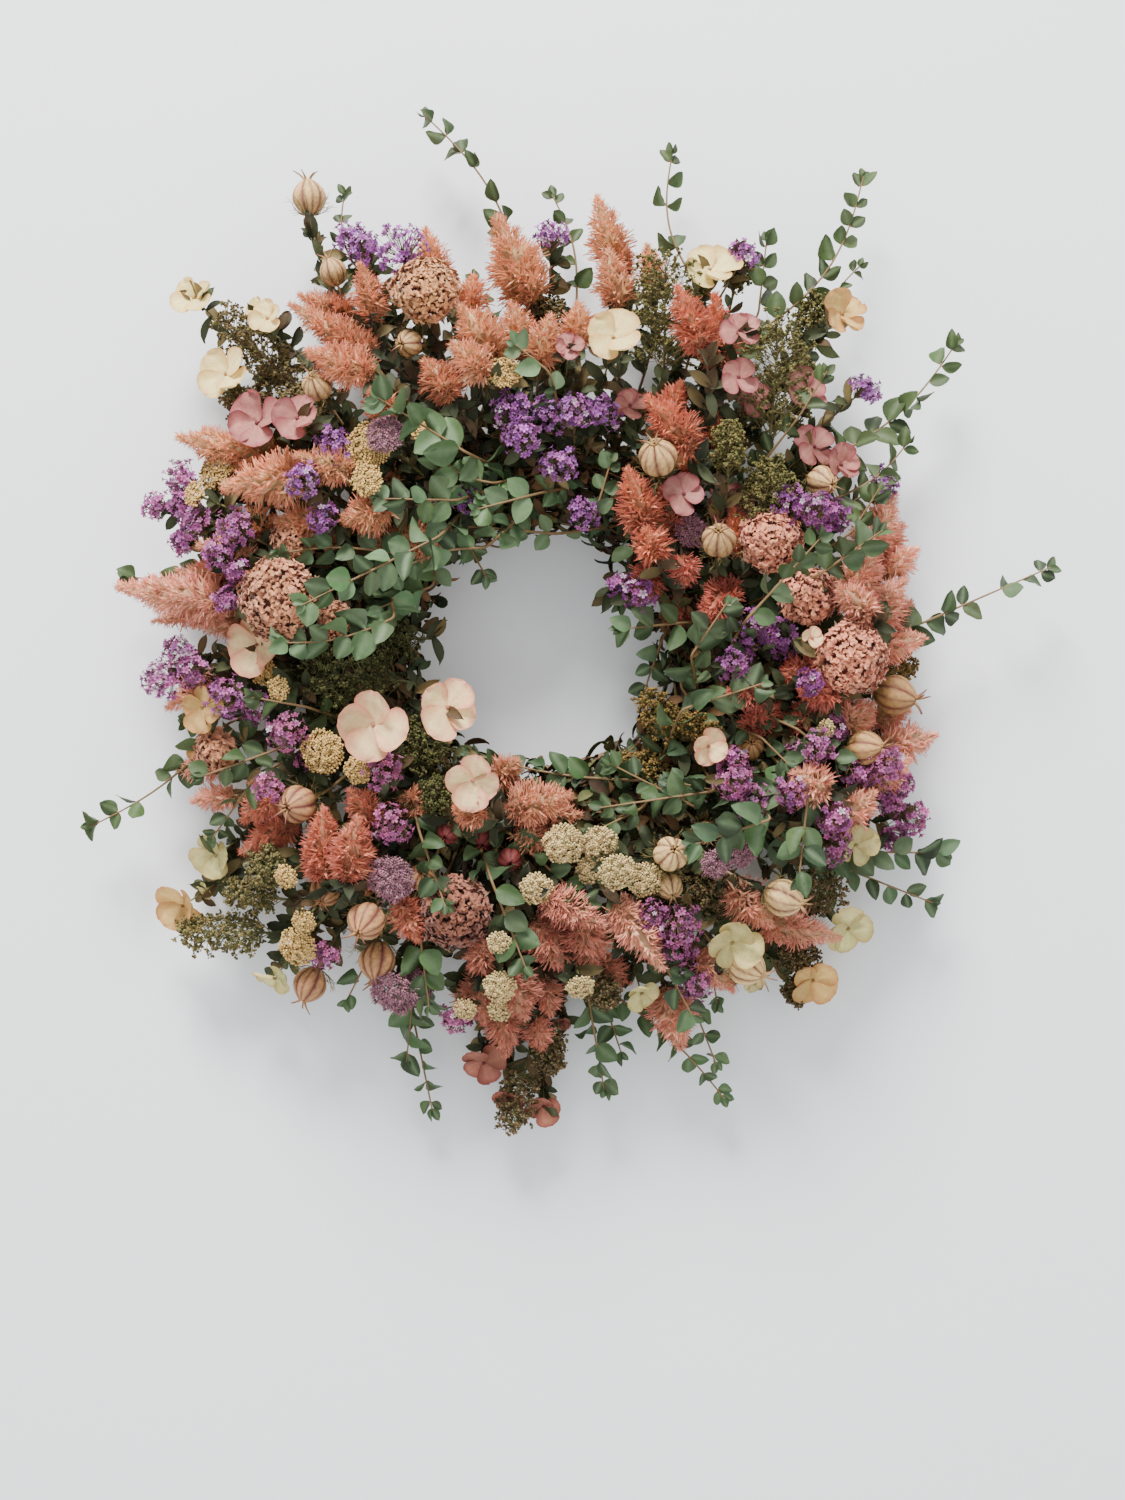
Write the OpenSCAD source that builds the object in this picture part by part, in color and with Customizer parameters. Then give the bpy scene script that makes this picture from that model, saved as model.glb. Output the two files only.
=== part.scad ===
// Harvest door wreath: bunches of dried flowers and foliage bound to a wire wreath frame.
// The wreath hangs in the XZ plane and faces -Y. The origin is the top of the hanging loop.

/* [Wire frame] */
// Diameter of the outer frame ring, wire centre to wire centre
frame_d = 254; // [240:2:270]
// Diameter of the frame wire
wire_d = 2.5; // [2:0.5:3]
// How many bars tie the four rings together
bar_count = 6; // [4:1:8]

/* [Hanging loop] */
// Clear width inside the loop
loop_w = 26; // [22:1:30]
// Diameter of the loop wire
loop_wire_d = 2; // [1.5:0.5:2.5]
// Drop from the top of the loop to the middle of the wreath
drop = 150; // [148:1:154]

/* [Binding] */
// Turns of binding wire around the frame
binding_turns = 24; // [20:1:30]
// Diameter of the binding wire
binding_wire_d = 0.9; // [0.6:0.1:1.2]

/* [Dried plants] */
// Diameter of a flower stem
stem_d = 2; // [1.6:0.2:2.4]
// Spacing of the leaf pairs on a eucalyptus sprig
leaf_step = 12; // [10:1:14]
// Thickness of a leaf pair with its curl
leaf_t = 2.4; // [2:0.2:3]

/* [Hidden] */

$fn = 48;

// Frame section: the outer and inner rings lie near the wall, the middle two stand forward
wall_gap = 8;
ring_low = 8;
ring_high = 17;
ring_r = [frame_d / 2, frame_d / 2 - 15, frame_d / 2 - 35, frame_d / 2 - 50];

// Middle of the bound stems, as a ring radius and a height above the wall
core_r = frame_d / 2 - 25;
core_h = 28;

// Half sizes of the binding wire's path around the frame and stems
bind_a = 31;
bind_b = 25;

stem_r = stem_d / 2;
// The bound stems fill a bundle of this radius, which the flower stems run up to
bundle_r = 18;
// A head's straight neck, how far its stem goes into it, how far back the stem aims before it
// turns to the bundle, and the degrees of the ring between the feet of neighbouring stems
neck_l = 5;
stem_in = 1.5;
stem_reach = 35;
foot_step = 4;

// A place in the wreath: x to the right, z up from its middle, h out from the wall
function place(x, z, h) = [x, wall_gap - h, z - drop];

function unit(v) = v / norm(v);

// The direction of a head: heading is its clock direction in the wreath's plane, tilt is forward
function aim(heading, tilt) = [
    cos(tilt) * cos(heading), -sin(tilt), cos(tilt) * sin(heading)
];

// Where the stem of row i ends, at the side of the bound stems: the stem leaves its head along
// -way, bends at the neck and runs to the nearest part of the ring, a little aside for each row
function foot(neck, way, i) =
    let (q = neck - way * stem_reach)
    let (clock = atan2(q[2] + drop, q[0]) + foot_step * (i % 4 - 1.5))
    let (middle = place(core_r * cos(clock), core_r * sin(clock), core_h))
    middle + unit(neck - middle) * bundle_r;

// Turns a child made along +Z to lie along a direction
module along(from, way) {
    translate(from) rotate([0, acos(way[2]), atan2(way[1], way[0])]) children();
}

// The four corners about a centre, s and d square to the way the bar runs there
function corners(centre, s, d) = [centre + s, centre + d, centre - s, centre - d];

// A closed bar through rings of four corners
module bar(rings) {
    last = len(rings) / 4 - 1;
    sides = [
        for (i = [0:last - 1], k = [0:3])
            let (a = 4 * i + k)
            let (b = 4 * i + (k + 1) % 4)
            each [[a, b + 4, a + 4], [a, b, b + 4]]
    ];
    top = 4 * last;
    caps = [[0, 2, 1], [0, 3, 2], [top, top + 1, top + 2], [top, top + 2, top + 3]];
    polyhedron(rings, concat(sides, caps));
}

// The stem under a head: from its foot it bends at the elbow and the neck, all in one plane
module stem(base, way, i) {
    neck = base - way * neck_l;
    start = foot(neck, way, i);
    elbow = neck - way * neck_l + unit(start - neck) * neck_l;
    centres = [start, elbow, neck, base + way * stem_in];
    s = unit(cross(way, neck - start + [0.1, 0.2, 0.3]));
    rings = [
        for (k = [0:3])
            let (before = unit(centres[max(k, 1)] - centres[max(k, 1) - 1]))
            let (after = unit(centres[min(k, 2) + 1] - centres[min(k, 2)]))
            let (d = cross(s, unit(before + after)))
            each corners(centres[k], s * stem_r, d * stem_r)
    ];
    bar(rings);
}

// A head turned from an outline of [radius, distance along the axis], on its stem
module turned(base, way, head, i) {
    along(base, way) rotate_extrude() polygon(concat([[0, 0]], head));
    stem(base, way, i);
}

// A head that runs from a base to a tip: [x, z, x tip, z tip, h, h tip, radius]
module long_head(p, shape, i) {
    base = place(p[0], p[1], p[4]);
    tip = place(p[2], p[3], p[5]);
    size = norm(tip - base);
    turned(base, unit(tip - base), [for (s = shape) [s[0] * p[6], s[1] * size]], i);
}

// A head about its middle: [x, z, h, heading, tilt, radius]
module round_head(p, shape, depth, i) {
    way = aim(p[3], p[4]);
    base = place(p[0], p[1], p[2]) - way * depth * p[5] / 2;
    turned(base, way, [for (s = shape) s * p[5]], i);
}

// Outlines as shares of the head's radius, and of its length or radius along the axis
plume_shape = [[0.7, 0.06], [1, 0.3], [0.85, 0.6], [0.45, 0.88], [0, 1]];
cone_shape = [[0.5, 0.06], [1, 0.35], [0.8, 0.7], [0.35, 0.95], [0, 1]];
crest_shape = [[0.4, 0.05], [0.95, 0.4], [1, 0.75], [0.7, 1.1], [0, 1.25]];
pod_shape = [[0.6, 0.15], [1, 0.8], [0.95, 1.35], [0.5, 1.95], [0.55, 2.35], [0, 2.35]];
floret_shape = [[0.3, 0.05], [1, 0.2], [1, 0.3], [0.35, 0.18], [0.25, 0.36], [0, 0.36]];
umbel_shape = [[0.4, 0.1], [1, 0.4], [0.9, 0.7], [0, 0.9]];
tuft_shape = [[0.5, 0.15], [1, 0.8], [0.8, 1.25], [0, 1.5]];

module long_heads(tint, rows, shape)
    color(tint) for (i = [0:len(rows) - 1]) long_head(rows[i], shape, i);
module round_heads(tint, rows, shape, depth)
    color(tint) for (i = [0:len(rows) - 1]) round_head(rows[i], shape, depth, i);

module celosia(tint, rows) long_heads(tint, rows, plume_shape);
module seed_heads(tint, rows) long_heads(tint, rows, cone_shape);
module cockscomb(tint, rows) round_heads(tint, rows, crest_shape, 1.2);
module pods(tint, rows) round_heads(tint, rows, pod_shape, 2.3);
module florets(tint, rows) round_heads(tint, rows, floret_shape, 0.2);
module umbels(tint, rows) round_heads(tint, rows, umbel_shape, 0.9);
module tufts(tint, rows) round_heads(tint, rows, tuft_shape, 1.4);

// A eucalyptus sprig: [x, z, x tip, z tip, h, h tip, bend sideways, half width of a leaf pair].
// It is one ribbon, wide at each leaf pair and narrow between them.
module sprig(p, i) {
    start = place(p[0], p[1], p[4]);
    tip = place(p[2], p[3], p[5]);
    way = unit(tip - start);
    aside = unit(cross(way, [0, -1, 0]));
    pairs = max(2, round(norm(tip - start) / leaf_step));
    last = 2 * pairs;
    centres = [
        for (k = [-1:last])
            k < 0
                ? foot(start, way, i)
                : start + (tip - start) * k / last + aside * p[6] * sin(180 * k / last)
    ];
    ends = last + 1;
    rings = [
        for (i = [0:ends])
            let (t = unit(centres[min(i + 1, ends)] - centres[max(i - 1, 0)]))
            let (s = unit(cross(t, [0, -1, 0])))
            let (d = cross(s, t))
            let (wide = i > 1 && i % 2 == 0)
            let (w = wide ? p[7] * (1 - 0.35 * i / ends) : stem_r)
            let (h = wide ? leaf_t / 2 : stem_r)
            each corners(centres[i], s * w, d * h)
    ];
    bar(rings);
}
module eucalyptus(tint, rows) color(tint) for (i = [0:len(rows) - 1]) sprig(rows[i], i);

// Wire frame

module frame_ring(r, h) {
    color("dimgray") translate(place(0, 0, h)) rotate([90, 0, 0])
        rotate_extrude() translate([r, 0]) circle(wire_d / 2);
}

module wire_ring_outer() frame_ring(ring_r[0], ring_low);
module wire_ring_outer_raised() frame_ring(ring_r[1], ring_high);
module wire_ring_inner_raised() frame_ring(ring_r[2], ring_high);
module wire_ring_inner() frame_ring(ring_r[3], ring_low);

module cross_bar() {
    heights = [ring_low, ring_high, ring_high, ring_low];
    for (i = [0:2]) {
        from = [ring_r[i], -heights[i], 0];
        to = [ring_r[i + 1], -heights[i + 1], 0];
        along(from, unit(to - from)) cylinder(h = norm(to - from), d = wire_d);
        translate(to) sphere(d = wire_d * 1.3);
    }
}

module wire_cross_bars() {
    color("dimgray") for (i = [0:bar_count - 1])
        translate([0, wall_gap, -drop]) rotate([0, -360 * (i + 0.5) / bar_count, 0]) cross_bar();
}

// The loop's two legs end in eyes around the outer ring, on one axis along X. The legs are a
// hair thinner than the bow, so that they end inside it.
module hang_loop() {
    bow_r = (loop_w + loop_wire_d) / 2;
    bow_z = -loop_w / 2;
    hinge_z = sqrt(pow(ring_r[0], 2) - pow(bow_r, 2)) - drop;
    eye_bore_r = wire_d / 2 + 0.4;
    eye_r = eye_bore_r + loop_wire_d;
    eye_l = 3;
    leg_z = hinge_z + (eye_bore_r + eye_r) / 2;
    color("silver") {
        difference() {
            union() {
                translate([0, 0, bow_z]) rotate([90, 0, 0])
                    rotate_extrude(angle = 180) translate([bow_r, 0]) circle(loop_wire_d / 2);
                for (side = [-1, 1]) {
                    translate([side * bow_r, 0, leg_z])
                        cylinder(h = bow_z + 0.5 - leg_z, d = loop_wire_d - 0.1);
                    translate([side * bow_r - eye_l / 2, 0, hinge_z]) rotate([0, 90, 0])
                        cylinder(h = eye_l, r = eye_r);
                }
            }
            translate([-2 * bow_r, 0, hinge_z]) rotate([0, 90, 0])
                cylinder(h = 4 * bow_r, r = eye_bore_r);
        }
    }
}

// The binding wire is one wire wound round and round the ring of stems
module binding_wire() {
    per_turn = 8;
    count = binding_turns * per_turn;
    spacing = 360 / binding_turns;
    function squash(c) = sign(c) * sqrt(abs(c));
    function on_path(u) =
        let (turn = 360 * u * binding_turns)
        let (clock = 90 + spacing / 2 + (360 - spacing / 2) * u)
        let (r = core_r + bind_a * squash(cos(turn)))
        place(r * cos(clock), r * sin(clock), core_h + bind_b * squash(sin(turn)));
    centres = [for (i = [0:count]) on_path(i / count)];
    rings = [
        for (i = [0:count])
            let (t = unit(centres[min(i + 1, count)] - centres[max(i - 1, 0)]))
            let (s = unit(cross(t, unit([-centres[i][2] - drop, 0, centres[i][0]]))))
            let (d = cross(s, t))
            each corners(centres[i], s * binding_wire_d / 2, d * binding_wire_d / 2)
    ];
    color("darkolivegreen") bar(rings);
}

// Bound stems of the bunches: each lies along the ring, at [ring radius, height above the wall]
module stem_bundle(clock) {
    spots = [
        [94, 25], [94, 34], [102, 20], [102, 29], [102, 38], [110, 25], [110, 34]
    ];
    span = 76;
    color("saddlebrown") for (i = [0:len(spots) - 1])
        translate(place(0, 0, spots[i][1])) rotate([90, 0, 0])
            rotate([0, 0, clock - span / 2 + 3 * (i % 3)])
                rotate_extrude(angle = span) translate([spots[i][0], 0]) circle(3);
}
module stem_bundle_top() stem_bundle(90);
module stem_bundle_right() stem_bundle(0);
module stem_bundle_bottom() stem_bundle(270);
module stem_bundle_left() stem_bundle(180);

// Plumed celosia

module celosia_top() celosia("lightsalmon", [
    [-5, 200, -30, 245, 45, 55, 12], [45, 215, 30, 260, 40, 50, 9], [65, 210, 60, 235, 30, 35, 6],
    [45, 195, 35, 225, 60, 65, 8], [20, 170, 20, 195, 60, 65, 8], [0, 160, 5, 185, 75, 80, 8],
    [-25, 160, -45, 190, 80, 85, 10], [-10, 165, -15, 195, 60, 65, 9],
    [-30, 150, -50, 165, 95, 100, 8]
]);
module celosia_top_left() celosia("salmon", [
    [-95, 165, -145, 190, 65, 70, 8], [-95, 150, -130, 165, 85, 90, 9],
    [-110, 190, -140, 200, 45, 50, 7], [-95, 185, -100, 215, 65, 75, 7],
    [-60, 210, -70, 240, 40, 45, 8], [-40, 190, -40, 210, 60, 65, 7],
    [-50, 140, -65, 160, 75, 80, 8], [-85, 130, -95, 140, 80, 95, 7]
]);
module celosia_upper_left() celosia("sandybrown", [
    [-150, 110, -210, 115, 45, 50, 10], [-130, 95, -180, 90, 70, 70, 11],
    [-120, 70, -150, 70, 60, 65, 8], [-155, 65, -175, 80, 40, 40, 7],
    [-85, 75, -110, 70, 80, 85, 9], [-60, 60, -100, 60, 60, 65, 8],
    [-105, 95, -135, 105, 85, 95, 7], [-75, 95, -100, 95, 50, 55, 7]
]);
module celosia_left() celosia("darksalmon", [
    [-175, 25, -245, 30, 55, 50, 10], [-165, 40, -210, 45, 40, 35, 8],
    [-165, 15, -200, 10, 45, 45, 7], [-195, 20, -225, 15, 30, 30, 5],
    [-165, 50, -195, 55, 60, 60, 7], [-185, -20, -215, -35, 45, 40, 7],
    [-185, -70, -210, -70, 35, 35, 6], [-175, -85, -200, -90, 40, 35, 6]
]);
module celosia_lower_left() celosia("coral", [
    [-105, -130, -100, -95, 85, 95, 9], [-120, -130, -120, -90, 70, 80, 9],
    [-140, -100, -170, -120, 45, 40, 8], [-75, -145, -65, -165, 70, 75, 8],
    [-90, -130, -100, -155, 40, 40, 8], [-145, -80, -170, -100, 55, 50, 9],
    [-90, -100, -105, -80, 70, 75, 7]
]);
module celosia_bottom() celosia("indianred", [
    [5, -140, 40, -155, 80, 80, 8], [25, -155, 35, -180, 65, 60, 10], [0, -155, 20, -185, 60, 55, 10],
    [35, -180, 55, -190, 45, 45, 7], [-30, -180, -30, -165, 65, 80, 7],
    [-35, -190, -30, -215, 50, 50, 9], [-15, -185, -5, -210, 60, 60, 10],
    [5, -190, 10, -210, 45, 45, 7], [-20, -205, -15, -235, 40, 40, 8],
    [0, -215, 5, -230, 40, 40, 6]
]);
module celosia_bottom_inner() celosia("peru", [
    [-15, -90, 20, -85, 80, 90, 9], [0, -95, 25, -95, 60, 65, 6], [-10, -100, 10, -115, 70, 75, 7],
    [-25, -75, -10, -65, 60, 70, 7], [-30, -95, -45, -90, 90, 95, 7],
    [-75, -85, -60, -95, 65, 70, 6]
]);
module celosia_lower_right() celosia("salmon", [
    [195, -55, 230, -50, 45, 40, 9], [190, -75, 210, -60, 60, 60, 8],
    [160, -80, 140, -70, 85, 95, 9], [170, -95, 190, -80, 70, 75, 9],
    [160, -100, 185, -100, 60, 55, 7], [190, -40, 215, -35, 35, 35, 7],
    [110, -135, 135, -155, 60, 65, 9], [130, -155, 175, -165, 45, 45, 8],
    [75, -195, 85, -230, 40, 40, 10], [90, -175, 115, -195, 45, 45, 7],
    [45, -145, 75, -180, 75, 70, 8], [50, -160, 50, -140, 55, 60, 7]
]);
module celosia_right() celosia("darksalmon", [
    [195, 50, 210, 75, 35, 35, 7], [170, -45, 190, -30, 60, 60, 10], [175, 30, 190, 60, 70, 75, 10],
    [200, 45, 215, 60, 50, 50, 6], [185, 20, 165, 35, 80, 90, 8], [195, 10, 215, 30, 35, 35, 7],
    [190, 0, 220, 10, 50, 50, 8], [185, 55, 205, 90, 50, 50, 9], [165, -15, 165, 5, 60, 60, 8],
    [185, 15, 210, 40, 55, 55, 10]
]);
module celosia_right_inner() celosia("indianred", [
    [155, -10, 135, -15, 70, 75, 9], [165, -25, 145, -25, 80, 90, 7], [120, -45, 135, -30, 60, 65, 8],
    [125, -25, 105, -25, 80, 85, 7], [150, -45, 150, -30, 60, 70, 8],
    [65, 45, 55, 25, 60, 65, 7], [80, 50, 80, 35, 75, 80, 7], [110, 35, 90, 15, 65, 75, 8],
    [90, 30, 75, 15, 45, 50, 7]
]);
module celosia_top_right() celosia("tomato", [
    [90, 165, 75, 200, 85, 95, 8], [100, 160, 100, 200, 65, 75, 8], [85, 110, 60, 140, 85, 95, 9],
    [75, 65, 70, 95, 65, 75, 7], [70, 130, 80, 150, 60, 65, 7], [60, 65, 50, 100, 80, 90, 9],
    [95, 115, 100, 135, 55, 60, 7], [65, 50, 60, 65, 85, 95, 8], [75, 100, 90, 110, 55, 65, 6],
    [115, 55, 110, 80, 65, 70, 7]
]);

// Crested celosia

module cockscomb_top() cockscomb("rosybrown", [[-65, 200, 75, 90, 60, 19]]);
module cockscomb_left() cockscomb("rosybrown", [
    [-145, 25, 85, 180, 70, 22], [-140, 60, 60, 150, 60, 14], [-120, 65, 45, 120, 60, 9],
    [-115, 15, 65, 190, 70, 10], [-185, -60, 50, 190, 50, 13]
]);
module cockscomb_right() cockscomb("darksalmon", [
    [130, 60, 80, 60, 70, 17], [150, 30, 80, 30, 70, 16], [175, -5, 85, 0, 70, 20]
]);
module cockscomb_bottom() cockscomb("sienna", [[-45, -150, 80, 250, 70, 20]]);

// Seed pods of love-in-a-mist

module nigella_pods_top() pods("burlywood", [
    [-135, 260, 40, 95, 5, 10], [-120, 215, 50, 110, 20, 8], [-125, 145, 80, 120, 60, 9],
    [-75, 170, 70, 200, 60, 8], [65, 105, 95, 110, 50, 11], [100, 60, 85, 100, 60, 10],
    [160, 95, 65, 330, 50, 9]
]);
module nigella_pods_right() pods("tan", [
    [205, -25, 50, 345, 15, 12], [185, -55, 75, 0, 30, 10], [120, -55, 65, 90, 70, 8]
]);
module nigella_pods_lower_right() pods("wheat", [
    [140, -140, 75, 340, 20, 11], [120, -180, 65, 330, 25, 11], [75, -115, 85, 60, 70, 10],
    [75, -135, 70, 290, 50, 8], [95, -105, 60, 300, 50, 7]
]);
module nigella_pods_lower_left() pods("burlywood", [
    [-135, -90, 75, 200, 60, 11], [-120, -140, 60, 250, 50, 9], [-95, -155, 85, 240, 50, 11],
    [-90, -180, 60, 265, 20, 11], [-130, -195, 45, 245, 10, 10], [-65, -130, 75, 80, 60, 8]
]);
module nigella_pods_inner() pods("brown", [
    [-50, -105, 75, 240, 60, 7], [-30, -110, 60, 250, 60, 6], [-15, -120, 75, 280, 70, 7]
]);

// Hydrangea florets

module hydrangea_cream_top() florets("moccasin", [
    [-200, 200, 40, 135, 50, 11], [-180, 155, 50, 140, 60, 13], [-155, 185, 60, 130, 60, 8],
    [40, 170, 95, 90, 70, 14], [95, 215, 60, 70, 60, 14], [-165, 195, 30, 130, 50, 6]
]);
module hydrangea_mauve_top() florets("rosybrown", [
    [-160, 125, 65, 140, 60, 14], [-135, 125, 85, 130, 70, 13], [110, 175, 90, 60, 60, 9],
    [110, 150, 85, 60, 70, 9], [120, 140, 60, 50, 60, 9], [50, 135, 75, 70, 70, 8],
    [15, 165, 90, 90, 70, 7], [105, 80, 60, 40, 70, 13], [80, 85, 85, 50, 70, 10],
    [155, 115, 60, 40, 60, 11], [170, 105, 60, 30, 60, 10], [150, 145, 55, 50, 50, 12]
]);
module hydrangea_cream_left() florets("navajowhite", [
    [-160, 0, 60, 180, 60, 15], [-90, -45, 100, 200, 75, 16], [-50, -35, 90, 30, 70, 15],
    [-35, -75, 100, 260, 70, 13], [95, -55, 85, 300, 75, 9], [150, 5, 100, 0, 70, 5]
]);
module hydrangea_ochre_outer() florets("goldenrod", [
    [-205, -150, 30, 215, 60, 13], [-190, -35, 60, 190, 60, 11], [-195, -60, 30, 200, 50, 8],
    [170, 190, 60, 45, 60, 11], [160, -190, 30, 310, 60, 12], [80, 90, 60, 45, 70, 5]
]);
module hydrangea_green_outer() florets("palegoldenrod", [
    [-185, -120, 40, 215, 60, 13], [-150, -190, 40, 235, 30, 10], [-190, -140, 40, 220, 30, 5],
    [180, -110, 65, 330, 60, 11], [180, -160, 30, 320, 60, 12], [110, -165, 75, 305, 70, 14],
    [60, -195, 60, 290, 60, 9], [125, -190, 45, 300, 50, 5]
]);
module hydrangea_rose_bottom() florets("indianred", [
    [-30, -240, 25, 260, 60, 11], [-15, -260, 25, 270, 50, 8], [5, -265, 25, 275, 60, 10],
    [15, -215, 25, 280, 40, 5]
]);

// Heads of tiny seed buds on fine branches

module seed_heads_top_left() seed_heads("darkolivegreen", [
    [-135, 145, -190, 195, 40, 40, 11], [-150, 135, -185, 145, 35, 35, 8],
    [-120, 120, -145, 145, 50, 55, 9], [10, 175, 0, 205, 40, 40, 8]
]);
module seed_heads_top_right() seed_heads("olive", [
    [70, 155, 70, 225, 55, 60, 18], [130, 115, 135, 190, 60, 60, 17], [105, 95, 105, 125, 80, 85, 8],
    [125, 65, 130, 105, 65, 75, 13], [150, 180, 160, 205, 40, 40, 7], [110, 205, 115, 235, 35, 35, 7]
]);
module seed_heads_left() seed_heads("darkolivegreen", [
    [-75, -20, -135, -15, 60, 65, 15], [-65, 5, -105, 5, 50, 50, 10], [-95, -45, -130, -40, 45, 50, 10],
    [-70, -75, -60, -45, 60, 65, 12], [-50, -95, -60, -75, 80, 85, 7]
]);
module seed_heads_lower_left() seed_heads("olive", [
    [-150, -165, -210, -165, 35, 35, 10], [-145, -145, -180, -140, 45, 40, 8],
    [-140, -120, -160, -130, 60, 60, 9]
]);
module seed_heads_bottom() seed_heads("darkkhaki", [
    [-5, -240, -15, -280, 25, 25, 9], [5, -215, 10, -245, 30, 30, 8], [30, -190, 45, -200, 55, 55, 7],
    [150, -125, 170, -145, 40, 35, 12], [140, -165, 160, -180, 30, 30, 8],
    [145, -190, 155, -205, 20, 20, 5], [100, -120, 100, -150, 50, 55, 11]
]);
module seed_heads_right() seed_heads("darkgoldenrod", [
    [165, 0, 160, 30, 40, 40, 8], [195, -15, 215, -5, 35, 30, 8], [80, -55, 60, -25, 60, 60, 8],
    [85, -70, 45, -65, 50, 50, 7], [100, -50, 80, -40, 70, 75, 6]
]);

// Yarrow and ageratum

module yarrow_left() umbels("khaki", [
    [-95, 110, 85, 130, 70, 12], [-95, 90, 95, 150, 70, 8], [-20, 150, 95, 90, 70, 8],
    [-65, 120, 75, 110, 60, 6], [-185, 100, 45, 150, 50, 10], [-195, 85, 60, 160, 40, 7],
    [-155, -15, 60, 190, 60, 7], [-145, -25, 75, 190, 60, 6], [-120, -60, 75, 200, 70, 11],
    [-100, -70, 80, 210, 70, 7], [-140, -130, 75, 220, 60, 6], [-135, -170, 60, 230, 60, 10],
    [-130, -155, 75, 230, 70, 6]
]);
module yarrow_bottom() umbels("ivory", [
    [15, -110, 85, 270, 75, 10], [35, -110, 80, 280, 75, 9], [45, -125, 90, 290, 70, 9],
    [30, -125, 75, 280, 75, 7], [60, -130, 75, 290, 70, 9], [0, -135, 85, 270, 75, 8],
    [-20, -190, 80, 265, 70, 8], [-20, -205, 65, 265, 60, 6], [-40, -205, 60, 260, 60, 6],
    [25, -190, 75, 280, 50, 7], [-20, -165, 90, 265, 70, 6], [160, -45, 85, 320, 60, 5]
]);
module ageratum_left() umbels("thistle", [
    [-85, 115, 95, 120, 70, 9], [-80, -130, 85, 230, 70, 11], [-80, -195, 60, 240, 50, 12],
    [-65, -190, 55, 250, 50, 8], [100, -120, 80, 310, 70, 7], [115, -115, 70, 315, 70, 7],
    [85, 65, 70, 45, 70, 8]
]);

// Statice

module statice_top() tufts("mediumorchid", [
    [-110, 235, 40, 110, 30, 7], [-100, 225, 55, 110, 40, 7], [-80, 225, 60, 110, 60, 11],
    [-115, 110, 85, 130, 60, 8], [-130, 90, 95, 150, 60, 7], [-120, 70, 85, 160, 60, 6],
    [-15, 130, 85, 90, 60, 8], [-10, 115, 95, 90, 70, 8], [5, 130, 75, 90, 60, 8],
    [20, 130, 90, 80, 60, 7], [35, 130, 80, 70, 60, 7], [10, 100, 85, 80, 70, 8],
    [-40, 80, 75, 100, 60, 6], [25, 75, 75, 60, 70, 6], [5, 235, 45, 90, 20, 7],
    [115, 225, 50, 60, 30, 6], [185, 150, 45, 40, 30, 6], [195, 95, 50, 30, 30, 7]
]);
module statice_left() tufts("orchid", [
    [-205, 95, 45, 170, 30, 8], [-220, 80, 40, 170, 20, 6], [-170, 65, 75, 150, 60, 8],
    [-195, 70, 55, 170, 30, 8], [-205, 60, 40, 170, 30, 6], [-205, 80, 50, 170, 40, 5],
    [-180, 50, 75, 170, 60, 6], [-170, 40, 75, 180, 60, 5], [-195, -15, 60, 190, 50, 7],
    [-205, -5, 45, 180, 40, 8], [-215, -20, 50, 185, 40, 8], [-175, 25, 75, 180, 60, 5],
    [-175, -30, 65, 190, 60, 9], [-160, -35, 55, 190, 60, 7]
]);
module statice_lower_left() tufts("mediumorchid", [
    [-140, -50, 75, 200, 70, 8], [-130, -60, 60, 200, 60, 7], [-150, -80, 75, 210, 60, 6],
    [-85, -70, 85, 200, 70, 8], [-80, -100, 85, 230, 70, 8], [-120, -175, 50, 240, 30, 6],
    [-45, -210, 50, 260, 30, 7]
]);
module statice_right() tufts("darkorchid", [
    [45, 35, 60, 20, 60, 6], [140, 80, 75, 40, 60, 8], [120, 10, 80, 0, 70, 8],
    [55, 30, 75, 20, 70, 7], [165, 75, 70, 30, 60, 7], [155, 75, 85, 30, 60, 8],
    [135, 5, 75, 0, 70, 8], [110, -10, 85, 0, 70, 7], [150, -20, 100, 0, 70, 5]
]);
module statice_bottom() tufts("plum", [
    [165, -110, 75, 320, 50, 8], [165, -95, 90, 320, 60, 7], [80, -170, 60, 300, 50, 9],
    [165, -45, 75, 330, 60, 6], [205, -75, 50, 330, 40, 7], [110, -75, 95, 320, 70, 8],
    [80, -155, 75, 300, 60, 9], [195, -65, 75, 340, 50, 8], [205, -105, 35, 325, 20, 7],
    [120, -85, 85, 320, 70, 7], [200, -85, 55, 330, 30, 6], [145, -60, 75, 330, 60, 5],
    [90, -190, 55, 300, 30, 7], [215, -95, 40, 330, 20, 8], [65, -150, 75, 295, 60, 6],
    [180, -70, 70, 330, 60, 7], [155, -55, 90, 330, 60, 7], [140, -80, 95, 320, 60, 7],
    [110, -65, 80, 320, 70, 7]
]);

// Eucalyptus sprigs

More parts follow.
